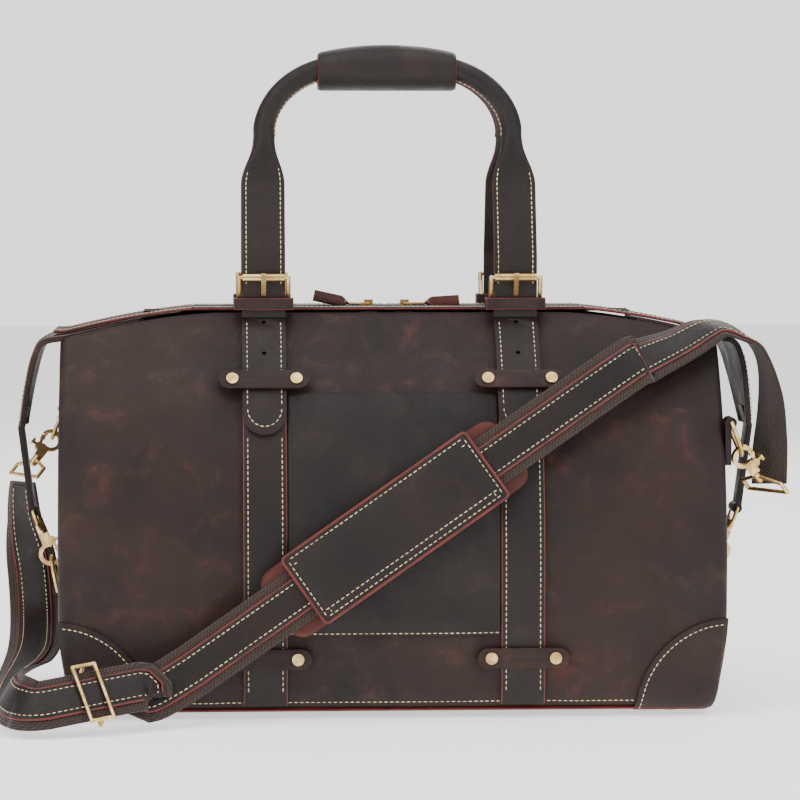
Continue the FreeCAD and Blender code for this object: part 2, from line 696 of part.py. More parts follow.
def hook_eye(half):
    """A wire eye with a bored barrel that the hook's stem turns in."""
    barrel = Part.makeCylinder(3.4, 6.8, Vector(0, -24.2, 0), Vector(0, 1, 0))
    side = [(0, -21, 3.2), (0, -27, half), (0, -EYE_REACH, half)]
    wire = rod(side + [(x, y, -z) for x, y, z in side[::-1]], WIRE)
    eye = barrel.fuse(wire)
    for s in (-1, 1):
        eye = eye.fuse(Part.makeSphere(WIRE, Vector(0, -21, s * 3.2)))
    bore = Part.makeCylinder(1.6 + PIN_CLEARANCE, 9, Vector(0, -25, 0), Vector(0, 1, 0))
    return eye.cut(bore).removeSplitter()


def d_ring():
    """A wire ring with a straight bar at the origin along z and its bow along +y."""
    radius = RING_INNER / 2 + WIRE
    straight = RING_REACH - radius
    ring = rod([(0, straight, radius), (0, 0, radius), (0, 0, -radius), (0, straight, -radius)], WIRE)
    bow = Part.makeTorus(radius, WIRE, Vector(0, 0, 0), Vector(0, 0, 1), 0, 360, 180)
    bow.rotate(Vector(0, 0, 0), Vector(0, 1, 0), 90)
    bow.translate(Vector(0, straight, 0))
    return ring.fuse(bow).removeSplitter()


def ring_tab(bar, foot):
    """A leather strip folded round a ring's bar, its two layers lying on the end panel down to a foot."""
    y0, y1 = bar.y - TAB_WIDTH / 2, bar.y + TAB_WIDTH / 2
    face = HALF_LENGTH + 0.2
    loop = Part.makeCylinder(WIRE + LOOP_WALL, TAB_WIDTH, Vector(bar.x, y0, bar.z), Vector(0, 1, 0))
    loop = loop.common(box(face, face + 40, y0 - 1, y1 + 1, bar.z - 20, bar.z + 20))
    strip = box(face, face + TAB, y0, y1, foot, bar.z)
    start = Vector(bar.x, y0 - 1, bar.z)
    bore = Part.makeCylinder(WIRE + PIN_CLEARANCE, TAB_WIDTH + 2, start, Vector(0, 1, 0))
    return strip.fuse(loop).cut(bore)


def wing_tab(tip_x, tip_z):
    """The leather tab from the wing's tip down to the hook's eye."""
    y = TAB_WIDTH / 2
    lean = (tip_x - FOLD_X) / WING_LENGTH
    high = [tip_x + 0.4 - 14 * lean, tip_z + 14]
    low = [tip_x + 0.7, tip_z - 1]
    end = [WING_EYE.x - 1.0, WING_EYE.z]
    inner = [high, low, end]
    outline = inner + [[x + TAB, z] for x, z in inner[::-1]]
    loop = Part.makeCylinder(WIRE + LOOP_WALL, 2 * y, Vector(WING_EYE.x, -y, WING_EYE.z), Vector(0, 1, 0))
    tab = along_y(outline, -y, y).fuse(loop)
    start = Vector(WING_EYE.x, -y - 1, WING_EYE.z)
    return tab.cut(Part.makeCylinder(WIRE + PIN_CLEARANCE, 2 * y + 2, start, Vector(0, 1, 0)))


def both_turned(shape):
    """The piece at the front right and its copy turned half round to the rear left."""
    return shape, mirror(mirror(shape, "x"), "y")


def hooks_and_rings(tip_x, tip_z):
    wing_axis = WING_BOWL - WING_EYE
    inward = Vector(wing_axis.z, 0, -wing_axis.x)
    side = Vector(0, 1, 0)
    names = (("hook_body", hook_body()), ("hook_gate", hook_gate()))
    for name, shape in names:
        wing = placed(shape, WING_BOWL, inward, wing_axis)
        add("right_wing_" + name, wing)
        add("left_wing_" + name, mirror(wing, "x"))
        front, rear = both_turned(placed(shape, SHOULDER_BOWL, strap_lever_side(), STRAP_AXIS))
        add("front_strap_" + name, front)
        add("rear_strap_" + name, rear)
    wing_eye = placed(hook_eye(TAB_WIDTH / 2 + 2.2), WING_BOWL, inward, wing_axis)
    strap_eye = hook_eye(WEBBING_WIDTH / 2 + 2.5)
    strap_eye = placed(strap_eye, SHOULDER_BOWL, STRAP_EYE_SIDE.cross(STRAP_AXIS), STRAP_AXIS)
    add("hook_eyes", wing_eye, mirror(wing_eye, "x"), *both_turned(strap_eye))
    wing_link = WING_BOWL + unit(wing_axis) * BOWL_LINK
    lower = placed(d_ring(), LOWER_BAR, side.cross(wing_link - LOWER_BAR), wing_link - LOWER_BAR)
    add("right_lower_ring", lower)
    add("left_lower_ring", mirror(lower, "x"))
    strap_link = SHOULDER_BOWL + STRAP_AXIS * BOWL_LINK
    strap_link.y = SHOULDER_BAR.y
    reach = strap_link - SHOULDER_BAR
    shoulder = placed(d_ring(), SHOULDER_BAR, side.cross(reach), reach)
    front, rear = both_turned(shoulder)
    add("front_shoulder_ring", front)
    add("rear_shoulder_ring", rear)
    lower_tab = ring_tab(LOWER_BAR, LOWER_BAR.z - 20)
    shoulder_tab = ring_tab(SHOULDER_BAR, SHOULDER_BAR.z - 32)
    tab = wing_tab(tip_x, tip_z)
    add("ring_tabs", lower_tab, mirror(lower_tab, "x"), *both_turned(shoulder_tab), tab, mirror(tab, "x"))


def strap_lever_side():
    """Across the strap hook, up and away from the bag."""
    rough = Vector(0.72, 0, 0.69)
    return rough - STRAP_AXIS * rough.dot(STRAP_AXIS)


# ---- shoulder strap ----

def set_out(x, y, z):
    """A point of the strap's route, set for a bag 500 long and 250 deep, moved with this bag's ends and front."""
    x += math.copysign((BAG_LENGTH - 500.0) / 2, x)
    if y < -50 and x < HALF_LENGTH + 10:
        y -= (BAG_DEPTH - 250.0) / 2
    return Vector(x, y, z)


RUN_HIGH = set_out(150, -113.6, 246)
RUN_LOW = set_out(-150, -154.4, 42)
RUN_NORMAL = Vector(0, -0.97, 0.2)
ADJUST_HIGH = set_out(-190, -170, 32)
ADJUST_LOW = set_out(-256, -196, 23)
ADJUST_NORMAL = Vector(0.05, -0.8, 0.6)
END_LOOP = WIRE + LOOP_WALL
ROUTE_STEPS = 4

STRAP_ROUTE = [
    (STRAP_EYE + Vector(0, 0, END_LOOP + 3), (0.856, 0.517, 0)),
    (set_out(287, -80, 200), (0.856, 0.517, 0)),
    (set_out(288, -72, 235), (0.9, 0.35, 0.2)),
    (set_out(282, -62, 268), (0.85, 0.1, 0.5)),
    (set_out(267, -60, 287), (0.5, -0.1, 0.86)),
    (set_out(246, -65, 292), (0.05, -0.5, 0.86)),
    (set_out(218, -80, 279), (-0.2, -0.72, 0.66)),
    (set_out(185, -98, 264), (-0.15, -0.86, 0.48)),
    (RUN_HIGH, RUN_NORMAL),
    (RUN_LOW, RUN_NORMAL),
    (ADJUST_HIGH, ADJUST_NORMAL),
    (ADJUST_LOW, ADJUST_NORMAL),
    (set_out(-276, -184, 24), (-0.72, -0.6, 0.35)),
    (set_out(-284, -155, 26), (-0.85, -0.15, 0.5)),
    (set_out(-282, -115, 30), (-0.55, -0.15, 0.82)),
    (set_out(-276, -70, 35), (-0.2, -0.15, 0.97)),
    (set_out(-273, -20, 42), (0, -0.2, 0.98)),
    (set_out(-275, 40, 60), (0, -0.45, 0.89)),
    (set_out(-279, 72, 94), (-0.1, -0.85, 0.5)),
    (set_out(-285, 82, 132), (-0.7, -0.7, 0)),
    (Vector(-STRAP_EYE.x, -STRAP_EYE.y, STRAP_EYE.z - END_LOOP - 3), (-0.856, -0.517, 0)),
]


def smooth(p0, p1, p2, p3, t):
    """A point between p1 and p2 on the smooth curve through four points."""
    line = (p2 - p0) * t + (p0 * 2 - p1 * 5 + p2 * 4 - p3) * (t * t)
    return p1 + (line + (p1 * 3 - p0 - p2 * 3 + p3) * (t ** 3)) * 0.5


def route_stations():
    """The hand-set stations with smooth ones between them, straight where the pad and adjuster slide."""
    points = [c for c, _ in STRAP_ROUTE]
    normals = [unit(Vector(*n)) for _, n in STRAP_ROUTE]
    last = len(points) - 1
    stations = []
    for k in range(last):
        stations.append((points[k], normals[k]))
        if (points[k], points[k + 1]) in ((RUN_HIGH, RUN_LOW), (ADJUST_HIGH, ADJUST_LOW)):
            continue
        before = max(0, k - 1)
        after = min(last, k + 2)
        for step in range(1, ROUTE_STEPS):
            t = step / ROUTE_STEPS
            centre = smooth(points[before], points[k], points[k + 1], points[after], t)
            stations.append((centre, unit(normals[k] * (1 - t) + normals[k + 1] * t)))
    return stations + [(points[last], normals[last])]


def route_frames():
    """Centre, width direction and outward direction at each station of the strap."""
    stations = route_stations()
    last = len(stations) - 1
    frames = []
    for k, (centre, normal) in enumerate(stations):
        before = unit(centre - stations[k - 1][0]) if k else Vector(0, 0, 0)
        after = unit(stations[k + 1][0] - centre) if k < last else Vector(0, 0, 0)
        tangent = unit(before + after)
        across = unit(tangent.cross(normal))
        frames.append((centre, across, across.cross(tangent)))
    return frames


def ribbon(section, flip):
    """A closed band along the strap's route.

    A section is points (across, out), and flip turns the diagonals of its faces.
    """
    rings = [[centre + across * x + out * h for x, h in section] for centre, across, out in route_frames()]
    count = len(section)
    faces = []
    for a, b in zip(rings, rings[1:]):
        for k in range(count):
            m = (k + 1) % count
            if flip:
                faces += [(a[k], a[m], b[k]), (a[m], b[m], b[k])]
            else:
                faces += [(a[k], a[m], b[m]), (a[k], b[m], b[k])]
    for cap in (rings[0], rings[-1]):
        faces += [(cap[0], cap[k], cap[k + 1]) for k in range(1, count - 1)]
    shell = Part.makeShell([Part.Face(Part.makePolygon([p, q, r, p])) for p, q, r in faces])
    solid = Part.makeSolid(shell)
    if solid.Volume < 0:
        solid.reverse()
    return solid


def on_run(shape, centre, high, low, normal):
    """Lay a flat shape (x across, y along, z outward) on a straight run of the strap."""
    y = unit(high - low)
    x = unit(y.cross(Vector(normal)))
    z = x.cross(y)
    shape = shape.copy()
    shape.Placement = FreeCAD.Placement(centre, FreeCAD.Rotation(x, y, z, "ZYX"))
    return shape


def rounded_plate(width, length, radius, z0, z1):
    plate = box(-width / 2, width / 2, -length / 2, length / 2, z0, z1)
    upright = [e for e in plate.Edges if abs(e.tangentAt(e.FirstParameter).z) > 0.9]
    return plate.makeFillet(radius, upright)


def strap_end_tab():
    """The strap's end, folded round the hook's eye."""
    half = WEBBING_WIDTH / 2 - 0.5
    loop = Part.makeCylinder(END_LOOP, 2 * half, STRAP_EYE - STRAP_EYE_SIDE * half, STRAP_EYE_SIDE)
    start = STRAP_EYE - STRAP_EYE_SIDE * (half + 1)
    return loop.cut(Part.makeCylinder(WIRE + PIN_CLEARANCE, 2 * half + 2, start, STRAP_EYE_SIDE))


def shoulder_strap():
    wide = WEBBING_WIDTH / 2
    slim = OVERLAY_WIDTH / 2
    webbing = [(-wide, 0), (wide, 0), (wide, WEBBING), (slim, WEBBING), (-slim, WEBBING), (-wide, WEBBING)]
    under = WEBBING + 0.05
    overlay = [(-slim, under), (slim, under), (slim, WEBBING + OVERLAY), (-slim, WEBBING + OVERLAY)]
    add("shoulder_webbing", ribbon(webbing, False), *both_turned(strap_end_tab()))
    add("strap_overlay", ribbon(overlay, True))
    middle = (RUN_HIGH + RUN_LOW) * 0.5
    base = rounded_plate(PAD_WIDTH, PAD_LENGTH, 14, -PAD_BASE - 0.5, -0.5)
    add("pad_base", on_run(base, middle, RUN_HIGH, RUN_LOW, RUN_NORMAL))
    stack = WEBBING + OVERLAY + 0.5
    y = PAD_COVER_LENGTH / 2
    cover = box(-PAD_WIDTH / 2, PAD_WIDTH / 2, -y, y, stack, stack + PAD_COVER)
    for s in (-1, 1):
        edges = sorted((s * (WEBBING_WIDTH / 2 + 1.2), s * PAD_WIDTH / 2))
        cover = cover.fuse(box(*edges, -y, y, -0.4, stack))
    add("pad_cover", on_run(cover.removeSplitter(), middle, RUN_HIGH, RUN_LOW, RUN_NORMAL))
    middle = (ADJUST_HIGH + ADJUST_LOW) * 0.5
    add("adjuster", on_run(adjuster(), middle, ADJUST_HIGH, ADJUST_LOW, ADJUST_NORMAL))


def adjuster():
    """A wire slide: a frame over the strap and a middle bar under it."""
    x = WEBBING_WIDTH / 2 + 3
    y = ADJUSTER_LENGTH / 2 - WIRE
    front = WEBBING + OVERLAY + 3 * GAP + WIRE
    back = -3 * GAP - WIRE
    frame = rod([(-x, -y, front), (x, -y, front), (x, y, front), (-x, y, front), (-x, -y, front)], WIRE)
    frame = frame.fuse(Part.makeSphere(WIRE, Vector(-x, -y, front)))
    middle = rod([(-x, 0, front), (-x, 0, back), (x, 0, back), (x, 0, front)], WIRE)
    return frame.fuse(middle).removeSplitter()


def main():
    body_shell()
    tip_x, tip_z = end_wings()
    corner_patches()
    body_straps()
    crossbars()
    feet()
    handles()
    zip_mouth()
    hooks_and_rings(tip_x, tip_z)
    shoulder_strap()
    os.makedirs("parts", exist_ok=True)
    for name, shape in parts.items():
        shape.exportStep("parts/" + name + ".step")
    print(len(parts), "nodes")


main()
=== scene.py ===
import json
import math

import bpy
import numpy as np
from mathutils import Matrix, Vector

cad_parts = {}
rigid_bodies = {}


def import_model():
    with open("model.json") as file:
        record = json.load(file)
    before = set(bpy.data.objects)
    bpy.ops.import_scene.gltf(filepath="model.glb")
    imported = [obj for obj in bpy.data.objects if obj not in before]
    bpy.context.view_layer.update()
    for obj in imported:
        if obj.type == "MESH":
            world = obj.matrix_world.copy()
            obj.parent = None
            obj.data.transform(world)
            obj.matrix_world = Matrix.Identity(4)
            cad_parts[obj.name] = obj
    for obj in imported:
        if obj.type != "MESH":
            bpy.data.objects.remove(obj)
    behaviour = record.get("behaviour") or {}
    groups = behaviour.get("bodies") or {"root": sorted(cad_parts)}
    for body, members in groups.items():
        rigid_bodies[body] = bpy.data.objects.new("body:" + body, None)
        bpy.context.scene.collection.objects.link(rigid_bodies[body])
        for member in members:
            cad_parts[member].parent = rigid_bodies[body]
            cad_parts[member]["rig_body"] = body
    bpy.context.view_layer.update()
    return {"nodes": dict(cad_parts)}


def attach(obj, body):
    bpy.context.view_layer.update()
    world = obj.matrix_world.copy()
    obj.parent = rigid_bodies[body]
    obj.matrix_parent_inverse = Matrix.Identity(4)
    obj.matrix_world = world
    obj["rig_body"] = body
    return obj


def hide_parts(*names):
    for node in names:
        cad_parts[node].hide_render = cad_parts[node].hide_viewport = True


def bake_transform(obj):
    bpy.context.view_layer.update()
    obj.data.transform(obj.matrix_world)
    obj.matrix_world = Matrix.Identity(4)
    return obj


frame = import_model()
body_of = {n: o["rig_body"] for n, o in frame["nodes"].items()}


# ---- finishes ----

class Finish:
    """Short hand for laying out the nodes of one finish."""

    def __init__(self, name):
        self.mat = bpy.data.materials.new(name)
        self.mat.use_nodes = True
        self.tree = self.mat.node_tree
        self.skin = self.tree.nodes["Principled BSDF"]
        self.place = self.tree.nodes.new("ShaderNodeTexCoord").outputs["Object"]

    def node(self, kind, settings=None, **inputs):
        made = self.tree.nodes.new(kind)
        for key, value in (settings or {}).items():
            setattr(made, key, value)
        for key, value in inputs.items():
            place = int(key[1:]) if key.startswith("i") else key.replace("_", " ")
            self.feed(made.inputs[place], value)
        return made

    def feed(self, socket, value):
        if isinstance(value, bpy.types.NodeSocket):
            self.tree.links.new(value, socket)
        else:
            socket.default_value = value

    def noise(self, scale, detail=3.0, rough=0.5, at=None, warp=0.0):
        made = self.node("ShaderNodeTexNoise", Scale=scale, Detail=detail, Roughness=rough, Distortion=warp)
        self.feed(made.inputs["Vector"], at or self.place)
        return made.outputs["Fac"]

    def cells(self, scale, feature="F1", at=None, out="Distance"):
        made = self.node("ShaderNodeTexVoronoi", {"feature": feature}, Scale=scale)
        self.feed(made.inputs["Vector"], at or self.place)
        return made.outputs[out]

    def ramp(self, value, low, high, a=0.0, b=1.0):
        made = self.node("ShaderNodeMapRange", {"interpolation_type": "SMOOTHSTEP"})
        for socket, number in zip(made.inputs, (value, low, high, a, b)):
            self.feed(socket, number)
        return made.outputs[0]

    def math(self, how, a, b=0.0):
        return self.node("ShaderNodeMath", {"operation": how}, i0=a, i1=b).outputs[0]

    def mix(self, share, a, b):
        made = self.node("ShaderNodeMix", {"data_type": "RGBA"})
        self.feed(made.inputs[0], share)
        self.feed(made.inputs[6], a)
        self.feed(made.inputs[7], b)
        return made.outputs[2]

    def bump(self, height, strength, depth, below=None):
        made = self.node("ShaderNodeBump", Height=height, Strength=strength, Distance=depth)
        if below is not None:
            self.feed(made.inputs["Normal"], below)
        return made.outputs[0]

    def done(self, colour, rough, normal, **fixed):
        self.feed(self.skin.inputs["Base Color"], colour)
        self.feed(self.skin.inputs["Roughness"], rough)
        self.feed(self.skin.inputs["Normal"], normal)
        for key, value in fixed.items():
            self.skin.inputs[key.replace("_", " ")].default_value = value
        return self.mat


def shade(r, g, b):
    """A linear colour from 0-255 screen values."""
    shares = (r / 255, g / 255, b / 255)
    return tuple(v / 12.92 if v <= 10 / 255 else ((v + 0.055) / 1.055) ** 2.4 for v in shares) + (1.0,)


def leather(name, deep, plain, rubbed, rough=0.5, rub=0.55, grain=1.0):
    """Pebbled hide: creased grain cells with painted shade in their crevices, cloudy dye, and paler rubbed places."""
    f = Finish(name)
    stray = f.node("ShaderNodeTexNoise", Scale=260.0, Detail=2.0).outputs["Color"]
    warped = f.node("ShaderNodeVectorMath", {"operation": "MULTIPLY_ADD"}, i0=stray, i1=(0.0016,) * 3)
    f.feed(warped.inputs[2], f.place)
    warped = warped.outputs[0]
    pebbles = f.cells(620.0, "DISTANCE_TO_EDGE", warped)
    fine = f.noise(1500.0, 2.0)
    clouds = f.noise(9.0, 4.0, 0.6)
    patches = f.noise(34.0, 5.0, 0.65, warp=0.6)
    streaks = f.noise(120.0, 4.0, 0.7)
    dye = f.mix(f.ramp(clouds, 0.32, 0.66), deep, plain)
    worn = f.math("MULTIPLY", f.ramp(patches, 0.52, 0.74), f.ramp(streaks, 0.4, 0.62, 0.35, 1.0))
    colour = f.mix(f.math("MULTIPLY", worn, rub), dye, rubbed)
    # The grain's crevices darkened towards the deep tone: painted shade in the crevices between the pebbles.
    colour = f.mix(f.ramp(pebbles, 0.0, 0.16, 0.38, 0.0), colour, deep)
    shine = f.math("ADD", f.ramp(patches, 0.35, 0.7, rough + 0.08, rough - 0.1), f.math("MULTIPLY", fine, 0.08))
    skin = f.bump(f.ramp(pebbles, 0.0, 0.22), 0.42 * grain, 0.00035)
    skin = f.bump(streaks, 0.3, 0.0006, skin)
    skin = f.bump(patches, 0.35, 0.0022, skin)
    return f.done(colour, shine, skin, Specular_IOR_Level=0.3, Coat_Weight=0.03, Coat_Roughness=0.3)


def painted_edge(name, tone, dark):
    f = Finish(name)
    lumps = f.noise(420.0, 3.0)
    wear = f.noise(60.0, 4.0, 0.6)
    colour = f.mix(f.ramp(wear, 0.45, 0.75), tone, dark)
    return f.done(colour, f.ramp(lumps, 0.3, 0.7, 0.32, 0.5), f.bump(lumps, 0.25, 0.0004), Specular_IOR_Level=0.5)


def thread(name, pale, dirty):
    f = Finish(name)
    plies = f.noise(2200.0, 2.0)
    soil = f.noise(48.0, 3.0)
    colour = f.mix(f.ramp(soil, 0.4, 0.72), pale, dirty)
    return f.done(colour, 0.75, f.bump(plies, 0.5, 0.0002), Sheen_Weight=0.15)


def metal(name, bright, dull, stain, rough):
    """Antiqued plate: brown stain in the hollows, rubbed bright on the high places."""
    f = Finish(name)
    cloud = f.noise(90.0, 4.0, 0.6)
    spots = f.noise(420.0, 3.0, 0.6)
    brushed = f.noise(900.0, 2.0)
    colour = f.mix(f.ramp(cloud, 0.38, 0.66), dull, bright)
    colour = f.mix(f.ramp(spots, 0.6, 0.78, 0.0, 0.6), colour, stain)
    shine = f.math("ADD", f.ramp(cloud, 0.35, 0.7, rough + 0.1, rough - 0.06), f.math("MULTIPLY", brushed, 0.06))
    return f.done(colour, shine, f.bump(brushed, 0.16, 0.0003), Metallic=1.0)


def woven(name, light, dark, pitch_u, pitch_v, uv):
    """Ribbed webbing: warp ribs along the strap with a herringbone of weft crossing them, with painted shade in the
    hollows of the weave.
    """
    f = Finish(name)
    at = f.node("ShaderNodeUVMap", {"uv_map": uv}).outputs[0]
    parts = f.node("ShaderNodeSeparateXYZ", i0=at)
    u, v = parts.outputs[0], parts.outputs[1]
    ribs = f.math("ABSOLUTE", f.math("SINE", f.math("MULTIPLY", u, math.pi / pitch_u)))
    row = f.math("ADD", f.math("MULTIPLY", v, math.pi / pitch_v), f.math("MULTIPLY", u, math.pi / pitch_u / 2))
    weft = f.math("ABSOLUTE", f.math("SINE", row))
    cloth = f.math("MULTIPLY", ribs, weft)
    fuzz = f.noise(2600.0, 3.0)
    wear = f.noise(40.0, 3.0)
    # Darker where the ribs and weft sink, following the bump: painted shade in the weave's hollows.
    colour = f.mix(f.ramp(cloth, 0.05, 0.75), dark, light)
    colour = f.mix(f.ramp(wear, 0.5, 0.8, 0.0, 0.35), colour, light)
    skin = f.bump(fuzz, 0.3, 0.0003, f.bump(cloth, 0.9, 0.0006))
    return f.done(colour, f.ramp(fuzz, 0.3, 0.7, 0.68, 0.85), skin, Sheen_Weight=0.2, Sheen_Roughness=0.4)


def cloth(name, light, dark):
    f = Finish(name)
    fine = f.cells(900.0)
    wide = f.noise(30.0, 3.0)
    # Darker in the pits of the fine cells, following the bump: painted shade in the cloth's pits.
    colour = f.mix(f.ramp(fine, 0.1, 0.6), dark, light)
    return f.done(colour, f.ramp(wide, 0.3, 0.7, 0.75, 0.9), f.bump(fine, 0.5, 0.0004), Sheen_Weight=0.1)


HIDE = leather("cocoa_hide", shade(22, 11, 9), shade(42, 22, 16), shade(88, 44, 28), 0.46, 0.6)
STRAP_HIDE = leather("strap_hide", shade(18, 12, 11), shade(31, 21, 18), shade(62, 37, 28), 0.42, 0.4, 0.8)
POCKET_HIDE = leather("pocket_hide", shade(14, 10, 9), shade(26, 18, 16), shade(54, 34, 26), 0.46, 0.4)
PAD_HIDE = leather("pad_hide", shade(58, 22, 17), shade(88, 36, 26), shade(116, 56, 38), 0.46, 0.5, 0.8)
PULL_HIDE = leather("pull_hide", shade(62, 24, 18), shade(90, 36, 27), shade(120, 60, 42), 0.42, 0.5, 0.7)
EDGE = painted_edge("red_edge_paint", shade(100, 30, 24), shade(58, 20, 17))
THREAD = thread("cream_thread", shade(222, 204, 162), shade(176, 152, 116))
BRASS = metal("antique_brass", shade(234, 206, 146), shade(190, 154, 92), shade(84, 58, 34), 0.3)
STEEL_WIRE = metal("dark_zip_metal", shade(150, 118, 70), shade(96, 74, 46), shade(40, 30, 24), 0.34)
WEBBING = woven("brown_webbing", shade(62, 42, 32), shade(24, 16, 13), 0.0022, 0.0030, "weave")
LINER = cloth("cotton_liner", shade(120, 104, 86), shade(86, 72, 58))
BOARD = cloth("fibre_board", shade(96, 82, 66), shade(66, 54, 44))
ZIP_CLOTH = cloth("zip_tape_cloth", shade(48, 38, 34), shade(26, 22, 20))


# ---- ways of making ----

def select_only(obj):
    bpy.ops.object.select_all(action="DESELECT")
    obj.select_set(True)
    bpy.context.view_layer.objects.active = obj


def from_faces(name, points, faces, *finishes):
    mesh = bpy.data.meshes.new(name)
    mesh.from_pydata([tuple(p) for p in points], [], faces)
    mesh.update()
    obj = bpy.data.objects.new(name, mesh)
    bpy.context.scene.collection.objects.link(obj)
    for finish in finishes:
        mesh.materials.append(finish)
    return obj


def sheet_grid(name, rows, *finishes):
    """A sheet through rows of points, with its points merged where rows meet and its faces turned one way."""
    across = len(rows[0])
    points = [p for row in rows for p in row]
    faces = []
    for r in range(len(rows) - 1):
        for c in range(across - 1):
            k = r * across + c
            faces.append((k, k + 1, k + across + 1, k + across))
    return from_faces(name, points, faces, *finishes)


def smooth_by_angle(obj, angle=40):
    select_only(obj)
    bpy.ops.object.shade_smooth_by_angle(angle=math.radians(angle))
    return obj


def thicken(obj, depth, offset=-1.0):
    """Leather's thickness on a sheet."""
    select_only(obj)
    wall = obj.modifiers.new("thickness", "SOLIDIFY")
    wall.thickness = depth
    wall.offset = offset
    wall.use_even_offset = True
    bpy.ops.object.modifier_apply(modifier=wall.name)
    return obj


def round_edges(obj, width, steps=3, finish=-1, limit=40):
    select_only(obj)
    bevel = obj.modifiers.new("rounding", "BEVEL")
    bevel.width = width
    bevel.segments = steps
    bevel.limit_method = "ANGLE"
    bevel.angle_limit = math.radians(limit)
    bevel.material = finish
    bevel.use_clamp_overlap = True
    bpy.ops.object.modifier_apply(modifier=bevel.name)
    return obj


def trimmed(node, hide, width=0.0009):
    """A leather piece in its cut shape, with its edge rounded and painted."""
    source = frame["nodes"][node]
    obj = bpy.data.objects.new(node + "_cut", source.data.copy())
    bpy.context.scene.collection.objects.link(obj)
    obj.data.materials.clear()
    obj.data.materials.append(hide)
    obj.data.materials.append(EDGE)
    obj.data.polygons.foreach_set("material_index", [0] * len(obj.data.polygons))
    select_only(obj)
    bpy.ops.object.mode_set(mode="EDIT")
    bpy.ops.mesh.select_all(action="SELECT")
    bpy.ops.mesh.remove_doubles(threshold=0.00002)
    bpy.ops.mesh.dissolve_limited(angle_limit=math.radians(0.8))
    bpy.ops.object.mode_set(mode="OBJECT")
    round_edges(obj, width, 3, 1, 50)
    smooth_by_angle(obj, 32)
    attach(obj, body_of[node])
    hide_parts(node)
    return obj


def swept(name, path, outs, section, *finishes, closed=False, uv=False):
    """A section (across, out) carried along a path, with caps on its ends unless the path closes."""
    path = [Vector(p) for p in path]
    outs = [Vector(n).normalized() for n in outs]
    count = len(path)
    rings = []
    for k in range(count):
        before = path[k - 1] if (k or closed) else path[k]
        after = path[(k + 1) % count] if (k < count - 1 or closed) else path[k]
        along = (after - before).normalized()
        across = along.cross(outs[k]).normalized()
        out = across.cross(along)
        rings.append([path[k] + across * x + out * h for x, h in section])
    wide = len(section)
    points = [p for ring in rings for p in ring]
    faces = []
    for r in range(count if closed else count - 1):
        a, b = r * wide, ((r + 1) % count) * wide
        for c in range(wide):
            d = (c + 1) % wide
            faces.append((a + c, b + c, b + d, a + d))
    if not closed:
        faces.append(tuple(range(wide)))
        faces.append(tuple((count - 1) * wide + c for c in reversed(range(wide))))
    obj = from_faces(name, points, faces, *finishes)
    if uv:
        lengths = [0.0]
        for p, q in zip(path, path[1:]):
            lengths.append(lengths[-1] + (q - p).length)
        layer = obj.data.uv_layers.new(name="weave")
        for face in obj.data.polygons:
            for loop in face.loop_indices:
                v = obj.data.loops[loop].vertex_index
                layer.data[loop].uv = (section[v % wide][0], lengths[v // wide])
    select_only(obj)
    bpy.ops.object.mode_set(mode="EDIT")
    bpy.ops.mesh.select_all(action="SELECT")
    bpy.ops.mesh.normals_make_consistent(inside=False)
    bpy.ops.object.mode_set(mode="OBJECT")
    return obj


def one_stitch():
    """A single thread stitch: a short pillow 3 mm long that dips at both ends."""
    bpy.ops.object.select_all(action="DESELECT")
    bpy.ops.mesh.primitive_uv_sphere_add(segments=6, ring_count=4, radius=1.0, rotation=(0, math.pi / 2, 0))
    made = bpy.context.active_object
    bpy.ops.object.transform_apply(location=False, rotation=True, scale=False)
    points = np.array([v.co for v in made.data.vertices])
    faces = [tuple(f.vertices) for f in made.data.polygons]
    bpy.data.objects.remove(made)
    return points * np.array((0.00155, 0.00044, 0.00036)), faces


STITCH_POINTS, STITCH_FACES = one_stitch()


def stitched(name, rows, body, pitch=0.0042, lift=0.0001):
    """Rows of thread stitches. A row is points and the outward direction at each."""
    points, faces = [], []
    for path, outs in rows:
        path = [Vector(p) for p in path]
        outs = [Vector(n) for n in outs]
        lengths = [0.0]
        for p, q in zip(path, path[1:]):
            lengths.append(lengths[-1] + (q - p).length)
        count = max(1, int(lengths[-1] / pitch))
        k = 0
        for i in range(count):
            at = (i + 0.5) * lengths[-1] / count
            while k < len(path) - 2 and lengths[k + 1] < at:
                k += 1
            t = (at - lengths[k]) / max(1e-9, lengths[k + 1] - lengths[k])
            centre = path[k].lerp(path[k + 1], t)
            x = (path[k + 1] - path[k]).normalized()
            y = outs[k].lerp(outs[k + 1], t).cross(x).normalized()
            z = x.cross(y)
            turn = np.array([x, y, z])
            base = len(points)
            points += [tuple(p) for p in STITCH_POINTS @ turn + np.array(centre + z * lift)]
            faces += [tuple(base + v for v in f) for f in STITCH_FACES]
    obj = from_faces(name, points, faces, THREAD)
    select_only(obj)
    bpy.ops.object.shade_smooth()
    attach(obj, body)
    return obj


def mirrored(obj, name, axis, body):
    """A copy turned over across the bag's middle plane, with its own mesh."""
    copy = bpy.data.objects.new(name, obj.data.copy())
    bpy.context.scene.collection.objects.link(copy)
    flip = Matrix.Scale(-1, 4, (1, 0, 0) if axis == "x" else (0, 1, 0))
    copy.data.transform(flip)
    copy.data.flip_normals()
    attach(copy, body)
    return copy


def ripple(x, z, seed=0.0):
    """Gentle unevenness of worn leather, from -1 to 1."""
    a = math.sin(x * 31 + z * 17 + seed) + 0.7 * math.sin(x * 53 - z * 41 + 2.1 * seed + 1.3)
    b = 0.5 * math.sin(x * 97 + z * 73 + 0.7 + seed) + 0.35 * math.sin(z * 151 - x * 60 + 3 * seed)
    return (a + b) / 2.55


def ease(value, low, high):
    t = min(1.0, max(0.0, (value - low) / (high - low)))
    return t * t * (3 - 2 * t)


# ---- the bag's body ----

